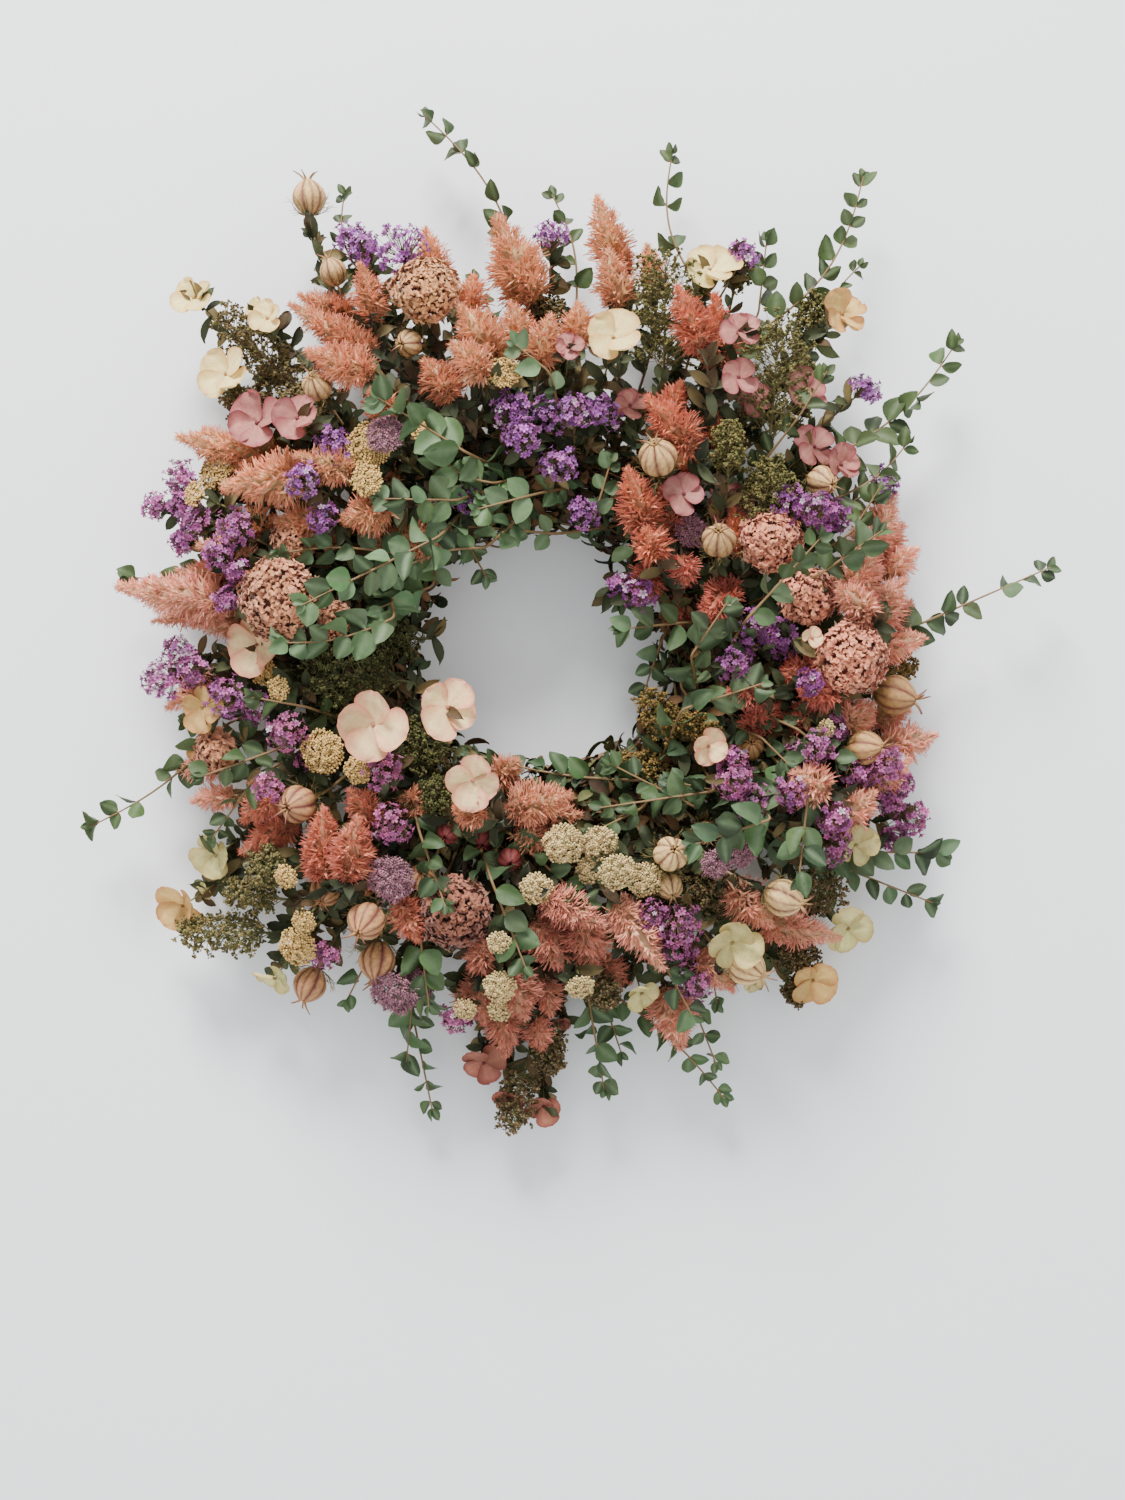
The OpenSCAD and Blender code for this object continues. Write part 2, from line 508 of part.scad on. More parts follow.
module eucalyptus_top() eucalyptus("seagreen", [
    [-10, 205, -70, 310, 35, 30, 12, 7], [-100, 210, -115, 265, 35, 30, -8, 5],
    [20, 205, 5, 265, 30, 25, 5, 6], [-25, 185, -40, 215, 35, 30, 0, 5],
    [95, 205, 75, 290, 35, 30, -12, 6], [125, 195, 130, 240, 35, 30, 0, 7]
]);
module eucalyptus_top_right() eucalyptus("darkseagreen", [
    [120, 180, 185, 275, 45, 35, 14, 7], [160, 180, 185, 225, 35, 30, -5, 5],
    [165, 110, 240, 180, 45, 35, 8, 8], [165, 85, 210, 120, 60, 55, 5, 7],
    [145, 130, 160, 155, 75, 80, 0, 6], [175, 65, 190, 90, 75, 80, 0, 6]
]);
module eucalyptus_upper_left() eucalyptus("mediumseagreen", [
    [-45, 80, -90, 80, 90, 95, 0, 7], [-75, 50, -145, 50, 75, 85, 4, 7],
    [-40, 105, -90, 135, 100, 105, 0, 9], [-50, 75, -30, 40, 40, 40, 0, 6],
    [-30, 55, -85, 35, 75, 85, 6, 6], [-80, 15, -145, 0, 85, 95, -5, 8],
    [5, 150, -15, 165, 100, 105, 0, 7], [-60, 35, -95, 20, 55, 60, 0, 8],
    [10, 65, -60, 70, 55, 60, 0, 5], [-55, 60, -130, 20, 90, 105, 0, 8],
    [0, 85, -35, 75, 85, 90, 0, 7], [-25, 90, -60, 110, 85, 90, -5, 8]
]);
module eucalyptus_left() eucalyptus("olivedrab", [
    [-170, 60, -240, 40, 30, 30, -8, 7], [-155, 75, -205, 80, 30, 30, 0, 6],
    [-165, -5, -195, -15, 35, 35, 0, 6], [-155, -30, -205, -45, 30, 30, 0, 6],
    [-180, -45, -260, -105, 40, 30, -6, 7], [-150, -60, -190, -75, 65, 70, 0, 7],
    [-160, -75, -185, -110, 60, 55, 0, 6], [-130, -35, -160, -30, 75, 80, 0, 6]
]);
module eucalyptus_bottom() eucalyptus("seagreen", [
    [-70, -190, -75, -240, 35, 30, 0, 8], [-75, -200, -60, -270, 20, 20, 0, 6],
    [-90, -165, -110, -205, 40, 35, 0, 6], [-65, -165, -60, -205, 70, 65, 0, 8],
    [30, -200, 40, -255, 40, 35, 0, 7], [35, -190, 50, -235, 30, 25, 0, 7],
    [45, -200, 110, -260, 25, 25, -4, 6], [85, -190, 105, -240, 30, 30, 0, 6],
    [65, -165, 90, -210, 60, 60, 0, 8], [100, -175, 105, -205, 35, 30, 0, 5]
]);
module eucalyptus_bottom_inner() eucalyptus("mediumseagreen", [
    [-65, -105, -50, -145, 85, 95, 0, 7], [-25, -130, -5, -180, 90, 90, 0, 8],
    [-15, -105, 30, -145, 75, 80, 0, 7], [60, -75, -40, -60, 55, 50, -4, 7],
    [90, -90, 40, -65, 65, 70, 0, 7], [100, -80, 35, -90, 80, 85, 0, 6],
    [60, -90, 30, -105, 65, 70, 0, 6], [-65, -75, -80, -105, 50, 50, 0, 7]
]);
module eucalyptus_lower_right() eucalyptus("cadetblue", [
    [125, -50, 140, -65, 80, 85, 0, 7], [125, -85, 75, -75, 70, 75, 0, 7],
    [150, -80, 145, -130, 95, 95, 0, 8], [150, -115, 235, -115, 50, 45, 0, 9],
    [165, -120, 230, -145, 35, 30, 0, 7], [145, -45, 170, -65, 80, 85, 0, 7],
    [130, -95, 85, -110, 95, 100, 0, 9]
]);
module eucalyptus_right() eucalyptus("darkseagreen", [
    [205, 10, 295, 50, 40, 35, 0, 7], [115, 15, 155, 60, 95, 105, 0, 7],
    [155, 40, 190, 65, 90, 95, 0, 8], [160, 50, 165, 80, 55, 60, 0, 6]
]);
module eucalyptus_right_inner() eucalyptus("seagreen", [
    [55, 65, 45, 25, 50, 55, 0, 7], [85, 15, 45, 10, 65, 75, 0, 8], [70, 5, 60, -25, 50, 50, 0, 6],
    [85, -5, 105, 25, 85, 90, 0, 8], [80, -35, 125, -20, 85, 95, 0, 8], [80, -20, 95, -45, 60, 65, 0, 7],
    [30, 70, 40, 105, 75, 80, 0, 6]
]);

hang_loop();
wire_ring_outer();
wire_ring_outer_raised();
wire_ring_inner_raised();
wire_ring_inner();
wire_cross_bars();
binding_wire();
stem_bundle_top();
stem_bundle_right();
stem_bundle_bottom();
stem_bundle_left();
celosia_top();
celosia_top_left();
celosia_upper_left();
celosia_left();
celosia_lower_left();
celosia_bottom();
celosia_bottom_inner();
celosia_lower_right();
celosia_right();
celosia_right_inner();
celosia_top_right();
cockscomb_top();
cockscomb_left();
cockscomb_right();
cockscomb_bottom();
nigella_pods_top();
nigella_pods_right();
nigella_pods_lower_right();
nigella_pods_lower_left();
nigella_pods_inner();
hydrangea_cream_top();
hydrangea_mauve_top();
hydrangea_cream_left();
hydrangea_ochre_outer();
hydrangea_green_outer();
hydrangea_rose_bottom();
seed_heads_top_left();
seed_heads_top_right();
seed_heads_left();
seed_heads_lower_left();
seed_heads_bottom();
seed_heads_right();
yarrow_left();
yarrow_bottom();
ageratum_left();
statice_top();
statice_left();
statice_lower_left();
statice_right();
statice_bottom();
eucalyptus_top();
eucalyptus_top_right();
eucalyptus_upper_left();
eucalyptus_left();
eucalyptus_bottom();
eucalyptus_bottom_inner();
eucalyptus_lower_right();
eucalyptus_right();
eucalyptus_right_inner();
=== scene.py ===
"""Looks of the harvest door wreath. Every plant stands on the solid of its CAD node: the solids
are read back as heads, sprigs and stems, and petals, leaves and seeds are built on them."""

import math

import bpy
import numpy as np
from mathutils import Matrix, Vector


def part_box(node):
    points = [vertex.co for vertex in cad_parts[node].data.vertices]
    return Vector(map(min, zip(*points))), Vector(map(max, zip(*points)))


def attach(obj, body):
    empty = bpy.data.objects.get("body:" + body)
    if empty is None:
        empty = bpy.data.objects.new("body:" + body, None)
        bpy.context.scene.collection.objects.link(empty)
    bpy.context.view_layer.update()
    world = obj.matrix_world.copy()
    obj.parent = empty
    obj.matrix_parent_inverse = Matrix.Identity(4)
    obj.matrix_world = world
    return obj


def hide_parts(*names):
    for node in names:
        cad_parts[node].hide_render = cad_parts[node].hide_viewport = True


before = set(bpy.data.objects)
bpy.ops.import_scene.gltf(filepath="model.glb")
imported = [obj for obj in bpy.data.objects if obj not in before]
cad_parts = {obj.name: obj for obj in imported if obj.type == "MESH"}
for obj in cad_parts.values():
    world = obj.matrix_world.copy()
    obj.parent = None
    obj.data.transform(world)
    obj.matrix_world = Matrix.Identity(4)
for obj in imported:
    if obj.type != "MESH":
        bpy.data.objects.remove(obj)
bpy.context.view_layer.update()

MM = 0.001
UP = np.array([0.0, 0.0, 1.0])
OUT = np.array([0.0, -1.0, 0.0])
GOLDEN = math.radians(137.508)

# The middle of the wreath and its bound stems, in millimetres
ring_low, ring_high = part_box("wire_ring_outer")
MIDDLE = np.array((ring_low + ring_high) / 2) / MM
CORE_R = (ring_high.x - ring_low.x) / MM / 2 - 26.2
CORE_H = 20
BUNDLE_R = 18

# Behind BACK, petals and leaves are pressed flat within BACK_GIVE, clear of the door
BACK = 1.5
BACK_GIVE = 3.0


# --- small geometry helpers ---


def unit(v):
    return v / np.maximum(np.linalg.norm(v, axis=-1, keepdims=True), 1e-9)


def rgb(r, g, b):
    """A colour given as 0-255 screen values, in the linear values Blender works in."""
    c = np.array([r, g, b], float) / 255
    return np.where(c < 0.04045, c / 12.92, ((c + 0.055) / 1.055) ** 2.4)


def across(axis):
    """Two directions square to axis and to each other."""
    side = np.cross(axis, OUT)
    if np.linalg.norm(side) < 0.2:
        side = np.cross(axis, UP)
    side = unit(side)
    return side, np.cross(axis, side)


def turns_to(grow, face):
    """Turning matrices whose y axis is grow and whose z axis is as near face as can be."""
    grow = unit(grow)
    side = unit(np.cross(grow, face))
    return np.stack([side, grow, np.cross(side, grow)], axis=-1)


def randoms(rng, n):
    return unit(rng.normal(size=(n, 3)))


# --- reading heads and sprigs back from the CAD solids ---


def islands(node):
    """The separate solids of a CAD node, each as (points, edges), in millimetres."""
    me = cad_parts[node].data
    co = np.empty(len(me.vertices) * 3)
    me.vertices.foreach_get("co", co)
    co = co.reshape(-1, 3) / MM
    keys = np.round(co * 50).astype(np.int64)
    _, first, same = np.unique(keys, axis=0, return_index=True, return_inverse=True)
    points = co[first]
    edges = np.empty(len(me.edges) * 2, np.int64)
    me.edges.foreach_get("vertices", edges)
    edges = same.ravel()[edges].reshape(-1, 2)
    label = np.arange(len(points))
    while True:
        low = np.minimum(label[edges[:, 0]], label[edges[:, 1]])
        new = label.copy()
        np.minimum.at(new, edges[:, 0], low)
        np.minimum.at(new, edges[:, 1], low)
        new = new[new]
        if (new == label).all():
            break
        label = new
    found = []
    for k in np.unique(label):
        mine = np.flatnonzero(label == k)
        if len(mine) < 16:
            continue
        place = np.full(len(points), -1)
        place[mine] = np.arange(len(mine))
        found.append((points[mine], place[edges[label[edges[:, 0]] == k]]))
    return found


def from_core(p):
    """Distances from the ring at the middle of the bound stems."""
    out = MIDDLE[1] - p[:, 1]
    around = np.hypot(p[:, 0] - MIDDLE[0], p[:, 2] - MIDDLE[2]) - CORE_R
    return np.hypot(around, out - CORE_H)


def levels_from(start, edges, count):
    """How many edges each point is from the start points."""
    level = np.full(count, -1)
    level[start] = 0
    step = 0
    while (level < 0).any() and step < 200:
        step += 1
        for a, b in ((0, 1), (1, 0)):
            reached = edges[(level[edges[:, a]] == step - 1) & (level[edges[:, b]] < 0), b]
            level[reached] = step
    return level


def read_head(points, edges):
    """Foot, neck, base, axis, length and radius of a turned head on its square stem."""
    apart = np.linalg.norm(points[:, None] - points[None], axis=-1)
    few = np.flatnonzero((apart < 2.3).sum(1) == 4)
    corner = few[np.abs(from_core(points[few]) - BUNDLE_R).argmin()]
    foot_ring = apart[corner] < 2.3
    level = levels_from(foot_ring, edges, len(points))
    neck = points[level == 2].mean(0)
    rest = points[level > 2]
    axis = unit(rest.mean(0) - neck)
    base = neck + axis * 5
    t = (rest - base) @ axis
    r = np.linalg.norm(rest - base - t[:, None] * axis, axis=1)
    return {
        "foot": points[foot_ring].mean(0),
        "neck": neck,
        "base": base,
        "axis": axis,
        "length": t.max(),
        "radius": r.max(),
    }


def read_sprig(points, edges):
    """Centreline and half widths of a ribbon solid, from its foot to its tip."""
    count = len(points)

    def end_ring(i):
        return np.flatnonzero(np.linalg.norm(points - points[i], axis=1) < 3)

    one = end_ring(levels_from([0], edges, count).argmax())
    other = end_ring(levels_from(one, edges, count).argmax())
    gaps = [np.abs(from_core(points[ring]) - BUNDLE_R).mean() for ring in (one, other)]
    foot = one if gaps[0] < gaps[1] else other
    level = levels_from(foot, edges, count)
    centres = []
    widths = []
    for k in range(level.max() + 1):
        ring = points[level == k]
        centres.append(ring.mean(0))
        widths.append(np.linalg.norm(ring - ring.mean(0), axis=1).max())
    return np.array(centres), np.array(widths)


# --- templates: (points, triangles, weight of the tip colour), y is the way they grow ---


def sheet_template(rows, cols, shape):
    """A grid of points bent by shape(across -1..1, along 0..1) -> (point, weight)."""
    points = []
    weights = []
    for j in range(rows + 1):
        for i in range(cols + 1):
            p, w = shape(2 * i / cols - 1, j / rows)
            points.append(p)
            weights.append(w)
    tris = []
    for j in range(rows):
        for i in range(cols):
            a = j * (cols + 1) + i
            b = a + cols + 1
            tris += [(a, a + 1, b + 1), (a, b + 1, b)]
    return np.array(points, float), np.array(tris), np.array(weights, float)


def tepal_shape(s, t):
    """A narrow pointed petal with a fold down its middle, swept back at the tip."""
    w = 0.13 * math.sin(math.pi * min(1, 0.14 + 0.86 * t)) ** 0.8
    return (s * w, t, 0.05 * abs(s) - 0.18 * t * t), t


def frill_shape(s, t):
    """A short blunt petal that hooks over at its top."""
    a = 2.2 * t
    w = 0.32 + 0.28 * t
    y = math.sin(a) * 0.62
    z = (1 - math.cos(a)) * 0.42
    return (s * w, y + 0.1 * s * s, z + 0.12 * math.sin(4 * s)), t


def leaf_shape(s, t):
    """A rounded oval leaf, cupped, with a pale midrib."""
    w = 0.41 * math.sin(math.pi * min(1, max(0, t * 0.98 + 0.01)) ** 0.85) ** 0.72
    z = 0.22 * (s * w * 2) ** 2 - 0.16 * t * t + 0.015 * math.sin(9 * t + 3 * s)
    return (s * w, t, z), (1 if abs(s) < 0.05 else 0.15 * t)


def long_leaf_shape(s, t):
    """A long narrow dried leaf, rolled at its edges and curling down."""
    w = 0.13 * math.sin(math.pi * min(1, 0.06 + 0.94 * t)) ** 0.8
    return (s * w, t - 0.2 * t**3, 0.1 * s * s - 0.35 * t * t), abs(s)


def sepal_shape(s, t):
    """A broad rounded sepal with a soft wave along its edge and veins that fan out."""
    w = 0.56 * math.sin(math.pi * min(1, 0.03 + 0.93 * t**1.3)) ** 0.6
    edge = max(abs(s) ** 3, max(0, t - 0.75) * 3.2)
    wave = 0.05 * math.sin(5 * s + 2) * t + 0.03 * math.sin(11 * t + 4 * s)
    vein = 0.28 if round(s * 4) % 2 == 0 else 0
    return (s * w, t, 0.6 * (s * w) ** 2 + 0.12 * t * t + wave), min(1, edge + vein * (1 - 0.4 * t))


def lobe_shape(s, t):
    """One petal of a tiny papery funnel flower."""
    w = 0.12 + 0.34 * t * (1.35 - t)
    y = 0.25 + 0.75 * t if t > 0 else 0
    return (s * w, y, 0.55 * t * (1 - t) + 0.06 * s * s), t


def ball_template(lows=4, rounds=6):
    """A small bead about half its height up the y axis."""
    points = [(0, -0.5, 0)]
    for j in range(1, lows):
        a = math.pi * j / lows
        for i in range(rounds):
            b = 2 * math.pi * i / rounds
            out = 0.5 * math.sin(a)
            points.append((out * math.cos(b), -0.5 * math.cos(a), out * math.sin(b)))
    points.append((0, 0.5, 0))
    tris = []
    for i in range(rounds):
        k = (i + 1) % rounds
        tris.append((0, 1 + k, 1 + i))
        for j in range(lows - 2):
            a = 1 + j * rounds
            tris += [(a + i, a + k, a + rounds + k), (a + i, a + rounds + k, a + rounds + i)]
        last = 1 + (lows - 2) * rounds
        tris.append((last + i, last + k, len(points) - 1))
    points = np.array(points, float)
    return points, np.array(tris), points[:, 1] + 0.5


def stick_template(sides=4):
    """A tapered stick one unit long and one unit across at its foot."""
    points = []
    for y, r in ((0, 0.5), (1, 0.32)):
        for i in range(sides):
            a = 2 * math.pi * i / sides
            points.append((r * math.cos(a), y, r * math.sin(a)))
    tris = []
    for i in range(sides):
        k = (i + 1) % sides
        tris += [(i, k, sides + k), (i, sides + k, sides + i)]
    points = np.array(points, float)
    return points, np.array(tris), points[:, 1]


def flower_template(petals):
    """Petals of the lobe shape around one point, opening along y."""
    p, t, w = sheet_template(2, 2, lobe_shape)
    points, tris, weights = [], [], []
    for k in range(petals):
        a = 2 * math.pi * k / petals
        lean = 1.05
        y = p[:, 1] * math.cos(lean) + p[:, 2] * math.sin(lean)
        r = p[:, 1] * math.sin(lean) - p[:, 2] * math.cos(lean)
        x = r * math.cos(a) - p[:, 0] * math.sin(a)
        z = r * math.sin(a) + p[:, 0] * math.cos(a)
        turned = np.stack([x, y, z], -1)
        tris.append(t + len(p) * k)
        points.append(turned)
        weights.append(w)
    return np.concatenate(points), np.concatenate(tris), np.concatenate(weights)


TEPAL = sheet_template(2, 2, tepal_shape)
FRILL = sheet_template(4, 3, frill_shape)
LEAF = sheet_template(6, 4, leaf_shape)
LONG_LEAF = sheet_template(5, 2, long_leaf_shape)
SEPAL = sheet_template(8, 8, sepal_shape)
BEAD = ball_template(2, 4)
GRAIN = ball_template(3, 5)
STICK = stick_template()
FLOWER = flower_template(5)


# --- growing a piece ---


class Piece:
    """Collects triangles and their colours, and becomes one mesh object."""

    def __init__(self):
        self.points = []
        self.tris = []
        self.colours = []
        self.count = 0

    def add(self, points, tris, colours):
        self.points.append(points)
        self.tris.append(tris + self.count)
        self.colours.append(colours)
        self.count += len(points)

    def scatter(self, template, places, turns, sizes, low, high):
        """Copies of a template. Sizes are (n,) or (n, 3), colours (n, 3) at its foot and tip."""
        p, t, w = template
        n = len(places)
        if n == 0:
            return
        sizes = np.asarray(sizes, float)
        if sizes.ndim == 1:
            sizes = np.repeat(sizes[:, None], 3, axis=1)
        local = p[None] * sizes[:, None, :]
        points = np.einsum("nij,nkj->nki", turns, local) + places[:, None, :]
        tris = t[None] + (np.arange(n) * len(p))[:, None, None]
        low = np.broadcast_to(low, (n, 3))[:, None, :]
        high = np.broadcast_to(high, (n, 3))[:, None, :]
        colours = low + (high - low) * w[None, :, None]
        self.add(points.reshape(-1, 3), tris.reshape(-1, 3), colours.reshape(-1, 3))

    def tube(self, path, radius, low, high=None, sides=5):
        """A round stem along a path of points, with a radius for each or one for all."""
        path = np.asarray(path, float)
        n = len(path)
        radius = np.broadcast_to(radius, (n,))
        way = unit(np.gradient(path, axis=0))
        side = unit(np.cross(way, np.array([0.31, 0.93, 0.2])))
        other = np.cross(way, side)
        a = np.arange(sides) * 2 * math.pi / sides
        ring = side[:, None] * np.cos(a)[None, :, None] + other[:, None] * np.sin(a)[None, :, None]
        points = path[:, None] + ring * radius[:, None, None]
        i = np.arange(n - 1)[:, None] * sides
        k = np.arange(sides)[None]
        b = (k + 1) % sides
        tris = np.concatenate(
            [
                np.stack([i + k, i + b, i + sides + b], -1).reshape(-1, 3),
                np.stack([i + k, i + sides + b, i + sides + k], -1).reshape(-1, 3),
            ]
        )
        t = np.linspace(0, 1, n)[:, None, None]
        high = low if high is None else high
        colours = np.broadcast_to(low * (1 - t) + high * t, (n, sides, 3))
        self.add(points.reshape(-1, 3), tris, colours.reshape(-1, 3))

    def sticks(self, starts, ends, thick, low, high):
        way = ends - starts
        length = np.linalg.norm(way, axis=1)
        wide = np.broadcast_to(thick, length.shape)
        sizes = np.stack([wide, length, wide], -1)
        self.scatter(STICK, starts, turns_to(way, np.array([0.3, 0.5, 0.8])), sizes, low, high)

    def finish(self, name, material, nodes, smooth=True):
        points = np.concatenate(self.points)
        past = np.maximum(points[:, 1] - BACK, 0)
        points[:, 1] += BACK_GIVE * (1 - np.exp(-past / BACK_GIVE)) - past
        points = points.astype(np.float32) * MM
        tris = np.concatenate(self.tris).astype(np.int32)
        colours = np.concatenate(self.colours).astype(np.float32)
        me = bpy.data.meshes.new(name)
        me.vertices.add(len(points))
        me.vertices.foreach_set("co", points.ravel())
        me.loops.add(len(tris) * 3)
        me.loops.foreach_set("vertex_index", tris.ravel())
        me.polygons.add(len(tris))
        me.polygons.foreach_set("loop_start", np.arange(len(tris), dtype=np.int32) * 3)
        me.update()
        me.validate()
        me.polygons.foreach_set("use_smooth", np.full(len(me.polygons), smooth))
        tint = me.color_attributes.new("tint", "FLOAT_COLOR", "POINT")
        full = np.ones((len(points), 4), np.float32)
        full[:, :3] = np.clip(colours, 0, 1)
        tint.data.foreach_set("color", full.ravel())
        me.materials.append(material)
        obj = bpy.data.objects.new(name, me)
        bpy.context.scene.collection.objects.link(obj)
        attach(obj, "wreath")
        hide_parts(*nodes)
        return obj


def shaded(rng, colour, n, spread=0.12):
    """n colours around one, lighter and darker together."""
    lift = 1 + rng.normal(size=(n, 1)) * spread
    drift = 1 + rng.normal(size=(n, 3)) * spread * 0.25
    return np.clip(colour * lift * drift, 0, 1)


def stem_path(foot, neck, base, rng):
    """A stem that leaves the bundle, bends and runs into the head along its axis."""
    a = foot + (foot - neck) * 0.15
    bend = neck + unit(neck - base) * np.linalg.norm(neck - foot) * 0.25
    mid = bend * 0.5 + foot * 0.5 + rng.normal(size=3) * 1.2
    t = np.linspace(0, 1, 9)[:, None]
    return (1 - t) ** 3 * a + 3 * (1 - t) ** 2 * t * mid + 3 * (1 - t) * t * t * bend + t**3 * base


DRY_LEAVES = np.array([rgb(74, 80, 52), rgb(92, 74, 50), rgb(60, 66, 44), rgb(120, 104, 66), rgb(84, 92, 62)])


def head_stem(piece, head, rng, thick, low, high):
    """The stem under a head, with a few dried leaves."""
    path = stem_path(head["foot"], head["neck"], head["base"], rng)
    piece.tube(path, np.linspace(thick * 1.15, thick * 0.8, len(path)), low, high)
    count = int(np.linalg.norm(path[-1] - path[0]) / 3.5)
    at = rng.uniform(1.5, len(path) - 1.2, count)
    spots = np.stack([np.interp(at, np.arange(len(path)), path[:, k]) for k in range(3)], -1)
    along = unit(path[-1] - path[0])
    ways = unit(along * 0.7 + randoms(rng, count))
    size = rng.uniform(10, 20, count)
    tones = DRY_LEAVES[rng.integers(0, len(DRY_LEAVES), count)] * rng.uniform(0.45, 1.05, (count, 1))
    turns = turns_to(ways, OUT + randoms(rng, count) * 0.6)
    piece.scatter(LONG_LEAF, spots, turns, np.stack([size * 1.4, size, size], -1), tones, tones * 0.85)


# --- the plants ---


def grow_plume(piece, base, axis, length, radius, rng, style):
    """Small tufts of pointed tepals on a spindle, swept towards its tip."""
    u, v = across(axis)
    tufts = int((28 + length * radius * 0.30) * (1))
    i = np.arange(tufts)
    t = (i + 0.5) / tufts
    angle = i * GOLDEN + rng.uniform(0, 6) + rng.normal(size=tufts) * 0.3
    swell = np.interp(t, [0, 0.12, 0.35, 0.7, 1], [0.6, 0.95, 1, 0.7, 0.1])
    swell = swell * (1 + 0.12 * np.sin(angle * 2 + t * 17 + rng.uniform(0, 6)))
    blade = 5.4 + radius * 0.36
    spindle = max(radius * 1.22 - blade * 0.6, radius * 0.3)
    lean = unit(u * rng.normal() + v * rng.normal()) * length * 0.07
    around = np.cos(angle)[:, None] * u + np.sin(angle)[:, None] * v
    spine = base + axis * (t * length * 0.94)[:, None] + lean * (t * t)[:, None]
    places = spine + around * (swell * spindle)[:, None]
    sweep = np.radians(np.interp(t, [0, 0.5, 0.9, 1], [22, 42, 60, 84]) + rng.normal(size=tufts) * 10)
    grow = around * np.cos(sweep)[:, None] + axis * np.sin(sweep)[:, None]
    blades = 6
    grow = np.repeat(grow, blades, 0)
    spread = rng.uniform(0.25, 0.85, tufts * blades)[:, None]
    ways = unit(grow + randoms(rng, tufts * blades) * spread)
    sizes = np.repeat(np.clip(swell, 0.45, 1.1) * blade, blades) * rng.uniform(0.7, 1.2, tufts * blades)
    wide = sizes * rng.uniform(0.6, 0.95, len(sizes))
    patch = 0.5 + 0.5 * np.sin(angle * 1.5 + t * 9 + rng.uniform(0, 6))[:, None]
    one = shaded(rng, style["low"], tufts, 0.12)
    tip = shaded(rng, style["high"], tufts, 0.10)
    tip = tip * (1 - patch * 0.2) + one * patch * 0.2
    old = np.interp(t, [0, 0.15, 0.4], [0.55, 0.2, 0])[:, None]
    old = np.clip(old + rng.normal(size=(tufts, 1)) * 0.2, 0, 1)
    one = one * (1 - old) + style["old"] * old
    tip = tip * (1 - old * 0.6) + style["old"] * old * 0.6
    piece.scatter(
        TEPAL,
        np.repeat(places, blades, 0),
        turns_to(ways, np.repeat(axis[None], len(ways), 0) + randoms(rng, len(ways)) * 0.5),
        np.stack([wide, sizes, sizes], -1),
        np.repeat(one, blades, 0),
        np.repeat(tip, blades, 0),
    )
    steps = np.linspace(0, 1, 9)[:, None]
    core = base + axis * (steps * 0.93 - 0.02) * length + lean * steps * steps * 0.86
    thick = np.interp(steps[:, 0], [0, 0.1, 0.3, 0.7, 1], [0.4, 0.85, 0.95, 0.7, 0.08]) * spindle
    piece.tube(core, thick, style["old"] * 0.6, style["low"] * 0.7, sides=8)


def grow_celosia(piece, head, rng, style):
    """A plume with one side plume at its foot, or two if it is a wide one."""
    axis = head["axis"]
    base = head["base"]
    grow_plume(piece, base, axis, head["length"], head["radius"], rng, style)
    u, v = across(axis)
    for _ in range(1 if head["radius"] < 8 else 2):
        turn = rng.uniform(0, 6.3)
        side = unit(axis + (u * math.cos(turn) + v * math.sin(turn) * 0.6) * rng.uniform(0.35, 0.6))
        long = min(head["length"] * rng.uniform(0.4, 0.6), 30)
        grow_plume(piece, base - axis * 2, side, long, head["radius"] * 0.48, rng, style)
    head_stem(piece, head, rng, 0.9, style["stem"], style["stem"] * 1.1)


def grow_crest(piece, head, rng, style):
    """A cockscomb: a dome of short curled frills over papery bracts."""
    axis = head["axis"]
    u, v = across(axis)
    radius = head["radius"]
    height = head["length"]
    n = int(5.2 * radius**1.55 * (1))
    i = np.arange(n)
    t = (i + 0.5) / n
    angle = i * GOLDEN
    polar = np.arccos(1 - 1.25 * t)
    around = np.cos(angle)[:, None] * u + np.sin(angle)[:, None] * v
    normal = unit(around * np.sin(polar)[:, None] + axis * np.cos(polar)[:, None])
    lumps = 1 + 0.09 * np.sin(angle * 3 + 7 * t) + 0.07 * np.sin(angle * 7 - 11 * t)
    centre = head["base"] + axis * height * 0.42
    reach = np.stack([radius * np.sin(polar), height * 0.55 * np.cos(polar)], -1) * lumps[:, None]
    places = centre + around * reach[:, :1] + axis * reach[:, 1:]
    places = places - normal * 2.6
    ways = unit(normal + randoms(rng, n) * 0.35)
    size = rng.uniform(2.8, 4.8, n)
    low = shaded(rng, style["low"], n, 0.16)
    high = shaded(rng, style["high"], n, 0.13)
    turns = turns_to(ways, randoms(rng, n))
    piece.scatter(FRILL, places, turns, np.stack([size * 0.9, size, size], -1), low, high)
    under = centre + axis * np.linspace(-0.5, 0.45, 6)[:, None] * height
    thick = np.array([0.15, 0.55, 0.8, 0.8, 0.6, 0.1]) * radius
    piece.tube(under, thick, style["low"] * 0.45, style["low"] * 0.5, sides=10)
    m = 60
    angle = np.arange(m) * GOLDEN
    around = np.cos(angle)[:, None] * u + np.sin(angle)[:, None] * v
    back = rng.uniform(-0.35, 0.5, m)[:, None]
    ways = unit(around + axis * back)
    places = head["base"] + axis * (rng.uniform(0, 0.3, m) * height)[:, None] + around * radius * 0.35
    size = rng.uniform(0.45, 0.75, m) * radius
    low = shaded(rng, style["low"], m)
    high = shaded(rng, style["bract"], m)
    turns = turns_to(ways, axis[None] + 0 * ways)
    piece.scatter(TEPAL, places, turns, np.stack([size * 1.3, size, size], -1), low, high)
    head_stem(piece, head, rng, 1.3, style["stem"], style["stem"] * 1.1)


